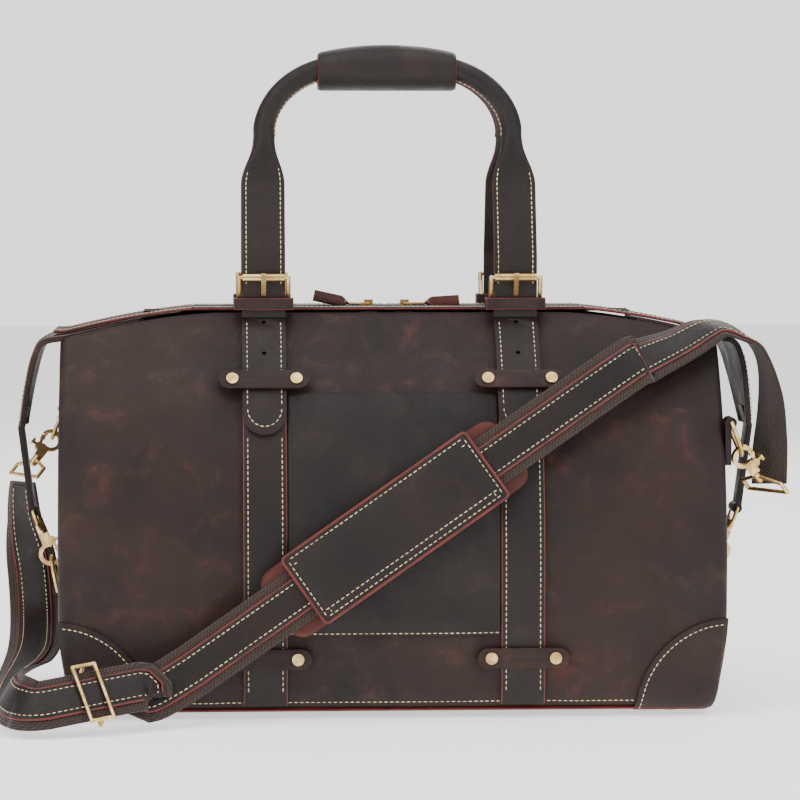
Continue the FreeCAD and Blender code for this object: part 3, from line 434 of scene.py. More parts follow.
FLANK_R = 0.259347
FLANK_Y = 0.134347
FLANK_Z = 0.110
TOP = 0.302
CORNER = 0.016
HALF = 0.250
STRAP_X = 0.096
FOLD_X = 0.262
TURN = CORNER * math.pi / 2
STRAIGHT = FLANK_Z - 0.021
FACE_LENGTH = TURN + STRAIGHT + FLANK_R * math.radians(47.77)


def face_point(s, off):
    """The front face at a length s up from the bottom seam: (y, z) moved out by off, and the outward (y, z)."""
    if s < TURN:
        a = s / CORNER
        out = (-math.sin(a), -math.cos(a))
        centre = (CORNER - 0.125, 0.005 + CORNER)
        return (centre[0] + out[0] * (CORNER + off), centre[1] + out[1] * (CORNER + off)), out
    if s < TURN + STRAIGHT:
        return (-0.125 - off, 0.021 + s - TURN), (-1.0, 0.0)
    a = (s - TURN - STRAIGHT) / FLANK_R
    out = (-math.cos(a), math.sin(a))
    return (FLANK_Y + out[0] * (FLANK_R + off), FLANK_Z + out[1] * (FLANK_R + off)), out


def face_length(z):
    """The length up the face at a height."""
    if z < FLANK_Z:
        return TURN + max(0.0, z - 0.021)
    return TURN + STRAIGHT + FLANK_R * math.asin((z - FLANK_Z) / FLANK_R)


def roof(x, off=0.0):
    """The roof line's height at x: level over the mouth, then falling in a soft curve to the folded corners."""
    return TOP + off - 0.019 * (max(0.0, abs(x) - 0.130) / 0.120) ** 1.6


def tuck(x, s):
    """x drawn in near the bottom, where the ends round under."""
    low = 1 - ease(s, -0.01, 0.085)
    return x - math.copysign(0.011 * low * ease(abs(x), 0.160, 0.250), x)


def swell(x, s):
    """How far the leather stands off the flat face: full between the straps, held down under them."""
    strap = abs(abs(x) - STRAP_X)
    free = ease(strap, 0.019, 0.045)
    side = 1 - ease(abs(x), 0.205, 0.250)
    ends = ease(s, 0.0, 0.07) * (1 - ease(s, FACE_LENGTH - 0.09, FACE_LENGTH - 0.01))
    z = face_point(s, 0)[0][1]
    middle = 0.0022 if abs(x) < STRAP_X else 0.0038
    wave = 0.0009 * ripple(x, z) * (0.4 + 0.6 * free)
    return free * ends * side * middle + (wave * ends if free > 0 else 0.0) - 0.0004


def face_spot(x, z, off):
    """A point on the leaning front at a height, moved out, with its outward direction."""
    (y, zz), (dy, dz) = face_point(face_length(z), off)
    return Vector((x, y, zz)), Vector((0, dy, dz))


def make_front():
    rows = []
    columns = list(np.linspace(-0.244, 0.244, 123))
    for k in range(1, 6):
        a = k * math.pi / 10
        edge = 0.244 + 0.006 * math.sin(a)
        columns = [-edge] + columns + [edge]
    for t in np.linspace(0, 1, 84):
        row = []
        for x in columns:
            top = min(FACE_LENGTH, face_length(roof(x, -0.0012)))
            s = top * t
            beyond = max(0.0, abs(x) - 0.244) / 0.006
            drop = 0.006 * (1 - math.sqrt(max(0.0, 1 - beyond ** 2)))
            (y, z), _ = face_point(s, swell(x, s) - drop)
            row.append((tuck(x, s), y, z))
        rows.append(row)
    lip = [(x, y + 0.0035, z - 0.0001) for x, y, z in rows[-1]]
    obj = sheet_grid("front_hide", rows + [lip], HIDE)
    return obj


def facing_out(obj, inside):
    """Turn every face of an open sheet away from a point inside the bag."""
    mesh = obj.data
    centre = Vector(inside)
    away = sum(f.normal.dot(f.center - centre) * f.area for f in mesh.polygons)
    if away < 0:
        mesh.flip_normals()
    return obj


front_hide = facing_out(make_front(), (0, 0, 0.12))
thicken(front_hide, 0.0022)
smooth_by_angle(front_hide, 50)
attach(front_hide, "bag")
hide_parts("front_panel")
back_hide = mirrored(front_hide, "back_hide", "y", "bag")
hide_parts("back_panel")


def make_end():
    """The end of the bag: as wide as the faces at every height, and a little hollow between its seams."""
    rows = []
    for t in np.linspace(0, 1, 60):
        s = face_length(roof(HALF, -0.003)) * t
        (y, z), _ = face_point(s, -0.0058)
        row = []
        for u in np.linspace(-1, 1, 41):
            hollow = 0.0016 * (1 - u ** 4) * ease(t, 0.0, 0.2) * (1 - ease(t, 0.8, 1.0))
            row.append((tuck(HALF, s) - 0.0003 - hollow * (1 + 0.5 * ripple(u * 0.1, z)), y * -u, z))
        rows.append(row)
    return sheet_grid("right_end_hide", rows, HIDE)


right_end = facing_out(make_end(), (0, 0, 0.12))
thicken(right_end, 0.002)
smooth_by_angle(right_end, 50)
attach(right_end, "bag")
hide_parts("end_panels")
mirrored(right_end, "left_end_hide", "x", "bag")


def make_base():
    rows = []
    for y in np.linspace(-0.1095, 0.1095, 30):
        row = []
        for x in np.linspace(-0.2485, 0.2485, 60):
            sag = 0.0008 * ripple(x, y, 1.0)
            row.append((tuck(x, 0.0), y, 0.0052 + max(0.0, sag)))
        rows.append(row)
    return sheet_grid("base_hide", rows, HIDE)


base_hide = facing_out(make_base(), (0, 0, 0.12))
thicken(base_hide, 0.002)
smooth_by_angle(base_hide, 50)
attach(base_hide, "bag")
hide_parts("bottom_panel")


def make_liner():
    """The cotton liner just inside the leather, from the base up to the mouth."""
    rows = []
    for t in np.linspace(0.09, 1, 30):
        row = []
        for x in np.linspace(-0.2455, 0.2455, 50):
            s = (min(FACE_LENGTH, face_length(roof(x, -0.0035))) - 0.004) * t
            (y, z), _ = face_point(s, -0.0038 + 0.0003 * ripple(x * 2, s * 2))
            row.append((tuck(x, s), y, z))
        rows.append(row)
    return sheet_grid("front_liner", rows, LINER)


liner = facing_out(make_liner(), (0, 0, 0.12))
thicken(liner, 0.0008)
smooth_by_angle(liner, 50)
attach(liner, "bag")
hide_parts("lining")
mirrored(liner, "rear_liner", "y", "bag")


def make_wing():
    """The top corner folded over the end, as a tapering leather flap with a soft fold."""
    line = [(x, roof(x) - 0.0001) for x in (0.190, 0.203, 0.216, 0.229, 0.241)]
    line += [(0.2490, 0.2838), (0.2570, 0.2830), (0.2626, 0.2815), (0.2665, 0.2785), (0.2690, 0.2745)]
    line += [(0.2712, 0.2690), (0.2735, 0.2620), (0.2762, 0.2500)]
    line += [(0.2785, 0.2380), (0.2805, 0.2260), (0.2820, 0.2170), (0.2824, 0.2120)]
    halves = [0.0400, 0.0428, 0.0460, 0.0498, 0.0540, 0.0575, 0.0585, 0.0585, 0.0575, 0.0555]
    halves += [0.0530, 0.0495, 0.0440, 0.0370, 0.0290, 0.0215, 0.0180]
    rows = []
    for (x, z), half in zip(line, halves):
        row = []
        for u in np.linspace(-1, 1, 25):
            crown = 0.0024 * (1 - u * u) if x > FOLD_X else 0.0
            wave = 0.0007 * ripple(u * 0.08, z, 0.6)
            row.append((x + crown + wave, u * half, z))
        rows.append(row)
    return sheet_grid("right_wing_fold", rows, HIDE, EDGE)


right_wing = facing_out(make_wing(), (0.15, 0, 0.2))
select_only(right_wing)
soft = right_wing.modifiers.new("soft_fold", "SUBSURF")
soft.levels = soft.render_levels = 2
bpy.ops.object.modifier_apply(modifier=soft.name)
thicken(right_wing, 0.0044)
round_edges(right_wing, 0.0013, 3, 1, 50)
smooth_by_angle(right_wing, 45)
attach(right_wing, "bag")
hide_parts("end_wings")
mirrored(right_wing, "left_wing_fold", "x", "bag")


def make_pocket():
    """The patch pocket on the front between the straps, less full towards its top edge."""
    rows = []
    low, high = face_length(0.0625), face_length(0.2398)
    for t in np.linspace(0, 1, 50):
        s = low + (high - low) * t
        row = []
        for x in np.linspace(-0.0789, 0.0789, 60):
            rim = max(ease(abs(x), 0.066, 0.0789), 1 - ease(s - low, 0.0, 0.012))
            full = 0.0024 * (1 - rim) * (1 - 0.4 * ease(s, high - 0.02, high))
            (y, z), _ = face_point(s, swell(x, s) + 0.0029 + full)
            row.append((x, y, z))
        rows.append(row)
    return sheet_grid("pocket_hide", rows, POCKET_HIDE)


pocket_hide = facing_out(make_pocket(), (0, 0, 0.12))
thicken(pocket_hide, 0.0024)
round_edges(pocket_hide, 0.0008, 3, -1, 60)
smooth_by_angle(pocket_hide, 45)
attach(pocket_hide, "bag")
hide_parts("front_pocket")


foot_path, foot_outs = [], []
for x in np.linspace(-0.0785, 0.0785, 40):
    spot, out = face_spot(x, 0.0650, 0.0)
    lift = swell(x, face_length(0.0650)) + 0.0031
    foot_path.append(spot + out * lift)
    foot_outs.append(out)
stitched("pocket_foot_stitches", [(foot_path, foot_outs)], "bag")


# ---- straps, crossbars, patches and their thread ----

for node in ("body_straps", "handle_strap_tips"):
    trimmed(node, STRAP_HIDE)
trimmed("crossbars", HIDE)
trimmed("ring_tabs", STRAP_HIDE, 0.0008)


def slab(half, thick, corner=0.0006):
    """A flat strip's section, with cut corners."""
    low, inner = thick - corner, half - corner
    under = [(-half, -low), (-inner, -thick), (inner, -thick), (half, -low)]
    return under + [(half, low), (inner, thick), (-inner, thick), (-half, low)]


for end in ("front", "rear"):
    trimmed(end + "_keepers", HIDE, 0.0006)
    trimmed(end + "_buckle_chapes", STRAP_HIDE, 0.0006)
for side, sx in (("left", -1), ("right", 1)):
    path, outs = [], []
    lift = 0.0058 if side == "left" else 0.0016
    for t in np.linspace(0, 1, 24):
        turn = 1.15 * ease(t, 0.0, 0.25)
        path.append(Vector((sx * (0.0300 + 0.0265 * t), -0.0006, 0.3066 + lift * t)))
        outs.append(Vector((0, -math.sin(turn), math.cos(turn))))
    pull = swept(side + "_pull_strip", path, outs, slab(0.0045, 0.0012), PULL_HIDE, EDGE)
    smooth_by_angle(pull, 50)
    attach(pull, body_of[side + "_leather_pull"])
    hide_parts(side + "_leather_pull")


def face_line(x, z0, z1, off, steps=30):
    spots = [face_spot(x, z, off) for z in np.linspace(z0, z1, steps)]
    return [p for p, _ in spots], [n for _, n in spots]


def turned(rows, flips):
    """The same rows at the front and, turned over in y, at the back."""
    made = []
    for sx, sy in flips:
        for path, outs in rows:
            made.append([[Vector((sx * v.x, sy * v.y, v.z)) for v in row] for row in (path, outs)])
    return made


BOTH = ((1, 1), (-1, 1), (1, -1), (-1, -1))
INSET = 0.0128
strap_rows = [face_line(STRAP_X + i * INSET, 0.015, 0.209, 0.0029) for i in (-1, 1)]
tip_rows = []
for i in (-1, 1):
    tip_rows.append(face_line(STRAP_X + i * INSET, 0.231, 0.290, 0.0058))
turns = np.linspace(math.pi, 2 * math.pi, 16)
arc = [(STRAP_X + INSET * math.cos(a), 0.2285 + INSET * math.sin(a)) for a in turns]
spots = [face_spot(x, z, 0.0058) for x, z in arc]
tip_rows.append(([p for p, _ in spots], [n for _, n in spots]))
stitched("body_strap_stitches", turned(strap_rows, BOTH), "bag")
stitched("strap_tip_stitches", turned(tip_rows, BOTH), "bag")


def make_patch():
    """A quarter-oval leather patch wrapped round a lower corner of the front."""
    rows = []
    for a in np.linspace(0, math.pi / 2, 30):
        row = []
        for r in np.linspace(0.02, 1.0, 16):
            x = 0.2496 - 0.068 * r * math.cos(a)
            s = 0.004 + 0.074 * r * math.sin(a)
            drop = 0.006 * (1 - math.sqrt(max(0.0, 1 - ((x - 0.244) / 0.006) ** 2))) if x > 0.244 else 0.0
            (y, z), _ = face_point(s, swell(x, s) + 0.0019 - drop)
            row.append((tuck(x, s) + (0.0012 if x > 0.247 else 0.0), y, z))
        rows.append(row)
    return sheet_grid("front_right_patch", rows, HIDE, EDGE)


patch = facing_out(make_patch(), (0, 0, 0.12))
thicken(patch, 0.0017)
round_edges(patch, 0.0007, 3, 1, 60)
smooth_by_angle(patch, 45)
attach(patch, "bag")
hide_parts("corner_patches")
left_patch = mirrored(patch, "front_left_patch", "x", "bag")
mirrored(patch, "rear_right_patch", "y", "bag")
mirrored(left_patch, "rear_left_patch", "y", "bag")
rim_path, rim_outs = [], []
for a in np.linspace(0.06, math.pi / 2 - 0.03, 30):
    x = 0.2496 - 0.0635 * math.cos(a)
    s = 0.004 + 0.0695 * math.sin(a)
    drop = 0.006 * (1 - math.sqrt(max(0.0, 1 - ((x - 0.244) / 0.006) ** 2))) if x > 0.244 else 0.0
    (y, z), (dy, dz) = face_point(s, swell(x, s) + 0.0019 - drop)
    rim_path.append(Vector((tuck(x, s), y, z)))
    rim_outs.append(Vector((0, dy, dz)))
stitched("patch_stitches", turned([(rim_path, rim_outs)], BOTH), "bag")

# The bottom seam: a painted welt between the front and the base, with its thread above.
welt = [(-0.0004, -0.0012), (0.0012, -0.0006), (0.0014, 0.0010), (0.0, 0.0016), (-0.0012, 0.0008)]
seam_path, seam_outs = [], []
for x in np.linspace(-0.244, 0.244, 60):
    (y, z), (dy, dz) = face_point(0.0085, 0.0006)
    seam_path.append((tuck(x, 0.0085), y, z))
    seam_outs.append((0, dy, dz))
for sign, name in ((1, "front_base_welt"), (-1, "rear_base_welt")):
    welt_path = [(x, sign * y, z) for x, y, z in seam_path]
    piece = swept(name, welt_path, [(0, sign * b, c) for _, b, c in seam_outs], welt, EDGE)
    smooth_by_angle(piece, 60)
    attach(piece, "bag")
path, outs = [], []
for x in np.linspace(-0.244, 0.244, 100):
    s = 0.0165
    (y, z), (dy, dz) = face_point(s, swell(x, s) + 0.0001)
    path.append(Vector((tuck(x, s), y, z)))
    outs.append(Vector((0, dy, dz)))
stitched("base_seam_stitches", turned([(path, outs)], ((1, 1), (1, -1))), "bag")

# The zip facing's outer ends, following the falling roof line under the folded corners.
for end, sy in (("front", 1), ("rear", -1)):
    for side, sx in (("left", -1), ("right", 1)):
        path, outs = [], []
        for x in np.linspace(0.1505, 0.2560, 30):
            slope = (roof(x + 0.001) - roof(x - 0.001)) / 0.002
            path.append(Vector((sx * x, sy * -0.0221, max(roof(x), 0.2838) + 0.0024)))
            outs.append(Vector((-sx * slope if x < 0.249 else 0.0, 0, 1)))
        facing = swept(end + "_facing_end_" + side, path, outs, slab(0.0158, 0.0010), STRAP_HIDE, EDGE)
        for face in facing.data.polygons:
            spread = {v % 8 for v in face.vertices}
            if len(face.vertices) == 4 and (spread <= {7, 0, 1, 6} or spread <= {2, 3, 4, 5}):
                face.material_index = 1
        smooth_by_angle(facing, 60)
        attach(facing, "bag")
        if end == "front" and side == "left":
            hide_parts("zip_facing_ends")
        rim = [p + Vector((0, sy * -0.0129, 0.0011)) for p in path]
        stitched(end + "_facing_end_stitches_" + side, [(rim, outs)], "bag", 0.0036)
# The wings' thread, along both slanting edges of the hanging flap.
wing_rows = []
for sy in (-1, 1):
    flap = [(0.2712, 0.0525, 0.268), (0.2738, 0.0488, 0.260), (0.2767, 0.0405, 0.2485), (0.2790, 0.0328, 0.237)]
    flap += [(0.2812, 0.0252, 0.2255), (0.2827, 0.0175, 0.2165), (0.2830, 0.0148, 0.2145)]
    path = [Vector((x + 0.0012, sy * (y - 0.0035), z)) for x, y, z in flap]
    wing_rows.append((path, [Vector((1, 0, 0.2))] * len(path)))
stitched("wing_stitches", turned(wing_rows, ((1, 1), (-1, 1))), "bag")


# ---- shoulder strap ----

def unit(*p):
    return Vector(p).normalized()


AXIS = unit(-0.58, -0.35, 0.735)
EYE = Vector((265, -96, 193)) - AXIS * 36.2
RUN_HIGH, RUN_LOW, RUN_OUT = Vector((150, -113.6, 246)), Vector((-150, -154.4, 42)), unit(0, -0.97, 0.2)
SLIDE_HIGH, SLIDE_LOW, SLIDE_OUT = Vector((-190, -170, 32)), Vector((-256, -196, 23)), unit(0.05, -0.8, 0.6)
ROUTE = [
    (EYE + Vector((0, 0, 5)), (0.856, 0.517, 0)), ((287, -80, 200), (0.856, 0.517, 0)),
    ((288, -72, 235), (0.9, 0.35, 0.2)), ((282, -62, 268), (0.85, 0.1, 0.5)), ((268, -60, 281), (0.6, -0.1, 0.79)),
    ((247, -63, 288), (0.05, -0.25, 0.97)), ((218, -79, 276), (-0.1, -0.58, 0.81)),
    ((185, -98, 264), (-0.15, -0.86, 0.48)), (RUN_HIGH, RUN_OUT), (RUN_LOW, RUN_OUT), (SLIDE_HIGH, SLIDE_OUT),
    (SLIDE_LOW, SLIDE_OUT), ((-276, -184, 24), (-0.72, -0.6, 0.35)), ((-284, -155, 26), (-0.85, -0.15, 0.5)),
    ((-282, -115, 30), (-0.55, -0.15, 0.82)), ((-276, -70, 35), (-0.2, -0.15, 0.97)),
    ((-273, -20, 42), (0, -0.2, 0.98)), ((-275, 40, 60), (0, -0.45, 0.89)), ((-279, 72, 94), (-0.1, -0.85, 0.5)),
    ((-285, 82, 132), (-0.7, -0.7, 0)), (Vector((-EYE.x, -EYE.y, EYE.z - 5)), (-0.856, -0.517, 0)),
]


def strap_route(steps):
    """The strap's centre line and outward direction, smooth between the stations and straight on its two runs."""
    points = [Vector(p) * 0.001 for p, _ in ROUTE]
    outs = [Vector(n).normalized() for _, n in ROUTE]
    last = len(points) - 1
    line, normals = [], []
    for k in range(last):
        p0, p1, p2, p3 = points[max(0, k - 1)], points[k], points[k + 1], points[min(last, k + 2)]
        straight = k in (8, 10)
        for step in range(steps):
            t = step / steps
            bend = (p2 - p0) * t + (p0 * 2 - p1 * 5 + p2 * 4 - p3) * t * t + (p1 * 3 - p0 - p2 * 3 + p3) * t ** 3
            line.append(p1.lerp(p2, t) if straight else p1 + bend * 0.5)
            normals.append(outs[k].lerp(outs[k + 1], t).normalized())
    return line + [points[last]], normals + [outs[last]]


line, outs = strap_route(12)


def band(half, low, high, crown=0.0, round_by=0.0004):
    """A flat band's section, with softened corners and a slightly crowned top."""
    top = [(x, high + crown * (1 - (x / half) ** 2)) for x in np.linspace(half - round_by, round_by - half, 7)]
    under = [(-half, low + round_by), (-half + round_by, low), (half - round_by, low), (half, low + round_by)]
    return under + [(half, high - round_by)] + top + [(-half, high - round_by)]


BAND_POINTS = 13


webbing = swept("shoulder_webbing_cloth", line, outs, band(0.020, 0.0, 0.002), WEBBING, uv=True)
smooth_by_angle(webbing, 50)
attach(webbing, "bag")
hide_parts("shoulder_webbing")
section = band(0.0123, 0.00205, 0.0037, 0.0003)
overlay = swept("strap_overlay_hide", line[2:-2], outs[2:-2], section, STRAP_HIDE, EDGE)
for face in overlay.data.polygons:
    spread = {v % BAND_POINTS for v in face.vertices}
    face.material_index = 1 if spread & {0, 3} and len(face.vertices) == 4 else 0
smooth_by_angle(overlay, 50)
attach(overlay, "bag")
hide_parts("strap_overlay")


def beside(line, outs, across, up):
    made = []
    for k, p in enumerate(line):
        along = (line[min(k + 1, len(line) - 1)] - line[max(k - 1, 0)]).normalized()
        made.append(p + along.cross(outs[k]).normalized() * across + outs[k] * up)
    return made


overlay_rows = [(beside(line[3:-3], outs[3:-3], i * 0.0092, 0.0040), outs[3:-3]) for i in (-1, 1)]
stitched("strap_overlay_stitches", overlay_rows, "bag", 0.0044)
overlay_edges = []
for i, name in ((-1, "overlay_edge_low"), (1, "overlay_edge_high")):
    bead = [(-0.0006, -0.0008), (0.0006, -0.0008), (0.0009, 0.0), (0.0006, 0.0009), (-0.0006, 0.0009), (-0.0009, 0.0)]
    piece = swept(name, beside(line[2:-2], outs[2:-2], i * 0.0125, 0.0029), outs[2:-2], bead, EDGE)
    smooth_by_angle(piece, 80)
    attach(piece, "bag")
    overlay_edges.append(piece.name)

run = (RUN_HIGH - RUN_LOW).normalized()
pad_across = run.cross(RUN_OUT).normalized()
pad_out = pad_across.cross(run)
PAD_AT = (RUN_HIGH + RUN_LOW) * 0.0005


def on_pad(x, y, h):
    return PAD_AT + pad_across * x + run * y + pad_out * h


def pad_outline(half_wide, half_long, corner, steps=10):
    loop = []
    for cx, cy, start in ((1, 1, 0), (-1, 1, 90), (-1, -1, 180), (1, -1, 270)):
        for k in range(steps + 1):
            a = math.radians(start + 90 * k / steps)
            x = cx * (half_wide - corner) + corner * math.cos(a)
            loop.append((x, cy * (half_long - corner) + corner * math.sin(a)))
    return loop


def pillow(name, half_wide, half_long, corner, low, high, puff, finish):
    """A stuffed leather slab: its rim is pinched and both faces are crowned."""
    points, faces = [], []
    loop = pad_outline(half_wide, half_long, corner)
    levels = [(0.0, low - puff * 0.25), (0.35, low - puff * 0.22), (0.7, low - puff * 0.12), (0.9, low)]
    middle = (low + high) / 2
    levels += [(0.975, low + 0.0007), (1.0, middle), (0.975, high - 0.0007), (0.93, high)]
    levels += [(0.86, high + puff * 0.1), (0.78, high + puff * 0.45), (0.6, high + puff * 0.85)]
    levels += [(0.3, high + puff), (0.0, high + puff)]
    count = len(loop)
    for share, h in levels:
        if share == 0.0:
            points.append(on_pad(0, 0, h))
        else:
            for x, y in loop:
                wave = 0.0005 * ripple(x * 2, y * 2, 0.4) * (1 if share < 0.95 else 0)
                reach = min(share, 1.0)
                px = x - math.copysign(min(abs(x), (1 - reach) * half_wide), x)
                py = y - math.copysign(min(abs(y), (1 - reach) * half_wide), y)
                points.append(on_pad(px, py, h + wave))
    start = 1
    for r in range(len(levels) - 3):
        a, b = start + r * count, start + (r + 1) * count
        faces += [(a + k, a + (k + 1) % count, b + (k + 1) % count, b + k) for k in range(count)]
    top = len(points) - 1
    last = start + (len(levels) - 3) * count
    faces += [(0, 1 + (k + 1) % count, 1 + k) for k in range(count)]
    faces += [(top, last + k, last + (k + 1) % count) for k in range(count)]
    obj = from_faces(name, points, faces, *finish)
    select_only(obj)
    bpy.ops.object.mode_set(mode="EDIT")
    bpy.ops.mesh.select_all(action="SELECT")
    bpy.ops.mesh.remove_doubles(threshold=0.00001)
    bpy.ops.mesh.normals_make_consistent(inside=False)
    bpy.ops.object.mode_set(mode="OBJECT")
    smooth_by_angle(obj, 60)
    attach(obj, "pad")
    return obj


under_pad = pillow("pad_underside", 0.029, 0.108, 0.014, -0.0052, -0.0008, 0.0010, (PAD_HIDE,))
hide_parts("pad_base")
pad_cover = pillow("pad_cover_hide", 0.029, 0.083, 0.003, 0.0044, 0.0071, 0.0024, (STRAP_HIDE, EDGE))
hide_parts("pad_cover")
pad_rows = []
for half in (0.0255, 0.0205):
    for i in (-1, 1):
        y = 0.078
        path = [on_pad(i * half, t, 0.0074 if half > 0.023 else 0.0082) for t in np.linspace(-y, y, 20)]
        pad_rows.append((path, [pad_out] * len(path)))
for i in (-1, 1):
    for inset in (0.0795, 0.0745):
        path = [on_pad(t, i * inset, 0.0076) for t in np.linspace(-0.0245, 0.0245, 10)]
        pad_rows.append((path, [pad_out] * len(path)))
stitched("pad_stitches", pad_rows, "pad", 0.0044)
rim = pad_outline(0.0291, 0.0831, 0.003, 4)
rim_path = [on_pad(x, y, 0.0058) for x, y in rim]
bead = [(-0.0008, -0.0014), (0.0008, -0.0014), (0.0012, 0.0), (0.0008, 0.0012), (-0.0008, 0.0012), (-0.0012, 0.0)]
pad_edge = swept("pad_cover_edge", rim_path, [pad_out] * len(rim_path), bead, EDGE, closed=True)
smooth_by_angle(pad_edge, 80)
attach(pad_edge, "pad")
for i, name in ((-1, "pad_side_low"), (1, "pad_side_high")):
    wall = [(-0.0028, 0.0), (0.0028, 0.0), (0.0028, 0.0052), (-0.0028, 0.0052)]
    path = [on_pad(i * 0.0258, t, -0.0006) for t in np.linspace(-0.0815, 0.0815, 12)]
    piece = swept(name, path, [pad_out] * len(path), wall, STRAP_HIDE)
    smooth_by_angle(piece, 40)
    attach(piece, "pad")


# ---- handles ----

LEG_Y = -0.05184
LEAN_Z = 0.345


def leg_y(z):
    """The middle of a handle strap in y at a height: upright, then leaning in to the roll."""
    return LEG_Y + max(0.0, z - LEAN_Z) / (0.489 - LEAN_Z) * (-0.0095 - LEG_Y)


def handle_stations():
    """Along a handle from its left foot to its right: centre in x and z, and how flat the section is there."""
    side = []
    for z in np.linspace(0.2865, 0.398, 26):
        side.append((0.096, z, 0.0))
    for t in np.linspace(0.06, 1.0, 16):
        side.append((0.096 - 0.0012 * t, 0.398 + 0.038 * t, t))
    for a in np.linspace(6, 80, 20):
        r = math.radians(a)
        height = 0.436 + 0.053 * math.sin(r) / math.sin(math.radians(80))
        side.append((0.0304 + 0.0655 * math.sin(math.pi / 2 - r) - 0.0006, height, 1.0))
    top = [(x, 0.489, 1.0) for x in np.linspace(0.030, 0.0, 6)]
    half = side + top
    return [(-x, z, t) for x, z, t in half] + [(x, z, t) for x, z, t in half[-2::-1]]


def handle_section(t):
    """A flat strap that curls back into a round roll as t goes from 0 to 1: points (across, out)."""
    curl = t * t * (3 - 2 * t)
    points = []
    for k in range(28):
        a = 2 * math.pi * k / 28
        c, s = math.cos(a), math.sin(a)
        flat = (0.0165 * math.copysign(abs(c) ** 0.16, c), 0.0013 * math.copysign(abs(s) ** 0.35, s))
        waist = 0.0066 + 0.0014 * ease(t, 0.5, 1.0)
        tube = (waist * c, waist * s)
        points.append((flat[0] * (1 - curl) + tube[0] * curl, flat[1] * (1 - curl) + tube[1] * curl))
    return points


def make_handle():
    stations = handle_stations()
    rings = []
    for k, (x, z, t) in enumerate(stations):
        x0, z0, _ = stations[max(0, k - 1)]
        x1, z1, _ = stations[min(len(stations) - 1, k + 1)]
        p0, p1 = Vector((x0, leg_y(z0), z0)), Vector((x1, leg_y(z1), z1))
        along = (p1 - p0).normalized()
        across = along.cross(Vector((0, -1, 0))).normalized()
        out = across.cross(along)
        centre = Vector((x, leg_y(z), z))
        rings.append([centre + across * a + out * b for a, b in handle_section(t)])
    wide = len(rings[0])
    points = [p for ring in rings for p in ring]
    faces = []
    for r in range(len(rings) - 1):
        for c in range(wide):
            d = (c + 1) % wide
            faces.append((r * wide + c, r * wide + d, (r + 1) * wide + d, (r + 1) * wide + c))
    faces.append(tuple(range(wide)))
    faces.append(tuple((len(rings) - 1) * wide + c for c in range(wide)))
    obj = from_faces("front_handle_leather", points, faces, STRAP_HIDE, EDGE)
    for face in obj.data.polygons:
        if len(face.vertices) == 4:
            spots = {v % wide for v in face.vertices}
            flat = stations[face.vertices[0] // wide][2] < 0.75
            if (spots <= {0, 1, 2, 27, 26} or spots <= {12, 13, 14, 15, 16}) and flat:
                face.material_index = 1
    select_only(obj)
    bpy.ops.object.mode_set(mode="EDIT")
    bpy.ops.mesh.select_all(action="SELECT")
    bpy.ops.mesh.normals_make_consistent(inside=False)
    bpy.ops.object.mode_set(mode="OBJECT")
    smooth_by_angle(obj, 55)
    return obj


handle = make_handle()
rear_handle = bpy.data.objects.new("rear_handle_leather", handle.data.copy())
bpy.context.scene.collection.objects.link(rear_handle)
rear_handle.data.transform(Matrix.Scale(-1, 4, (0, 1, 0)))
rear_handle.data.flip_normals()
for piece, end, sign in ((handle, "front", 1), (rear_handle, "rear", -1)):
    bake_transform(piece)
    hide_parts(end + "_handle_strap")


def handle_stitch_rows():
    rows = []
    stations = [s for s in handle_stations() if s[0] > 0 and s[1] > 0.322]
    for i in (-1, 1):
        path, outs = [], []
        for x, z, t in stations:
            if t < 0.97:
                curl = t * t * (3 - 2 * t)
                half = 0.0131 * (1 - curl) + 0.0058 * curl
                lift = 0.0014 * (1 - curl) + 0.0040 * curl
                path.append(Vector((x + i * half, leg_y(z) - lift, z)))
                outs.append(Vector((i * curl * 0.8, -1, 0.3)))
        rows.append((path, outs))
    path, outs = [], []
    for x, z, t in stations:
        if t >= 0.97 and x > 0.052:
            inward = Vector((0.030 - x, 0, 0.430 - z)).normalized()
            path.append(Vector((x, leg_y(z) - 0.0022, z)) + inward * 0.0079)
            outs.append(inward)
    rows.append((path[::-1], outs[::-1]))
    return rows


for end, sign in (("front", 1), ("rear", -1)):
    rows = turned(handle_stitch_rows(), ((1, sign), (-1, sign)))
    stitched(end + "_handle_stitches", rows, end + "_handle", 0.0038)


def roll_seam(end, sign):
    """The painted seam on the roll's inner side, where the strap's two edges meet."""
    stations = [s for s in handle_stations() if s[2] >= 0.97 and s[1] < 0.4885]
    for side, name in ((1, "right"), (-1, "left")):
        path, outs = [], []
        for x, z, _ in stations:
            if x * side > 0.05:
                inward = Vector((side * 0.030 - x, 0, 0.430 - z)).normalized()
                path.append(Vector((x, sign * (leg_y(z) - 0.0006), z)) + inward * 0.0080)
                outs.append(inward)
        bead = [(-0.0013, -0.0006), (0.0013, -0.0006), (0.0010, 0.0007), (-0.0010, 0.0007)]
        piece = swept(end + "_roll_seam_" + name, path, outs, bead, EDGE)
        smooth_by_angle(piece, 80)
        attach(piece, end + "_handle")


roll_seam("front", 1)
roll_seam("rear", -1)


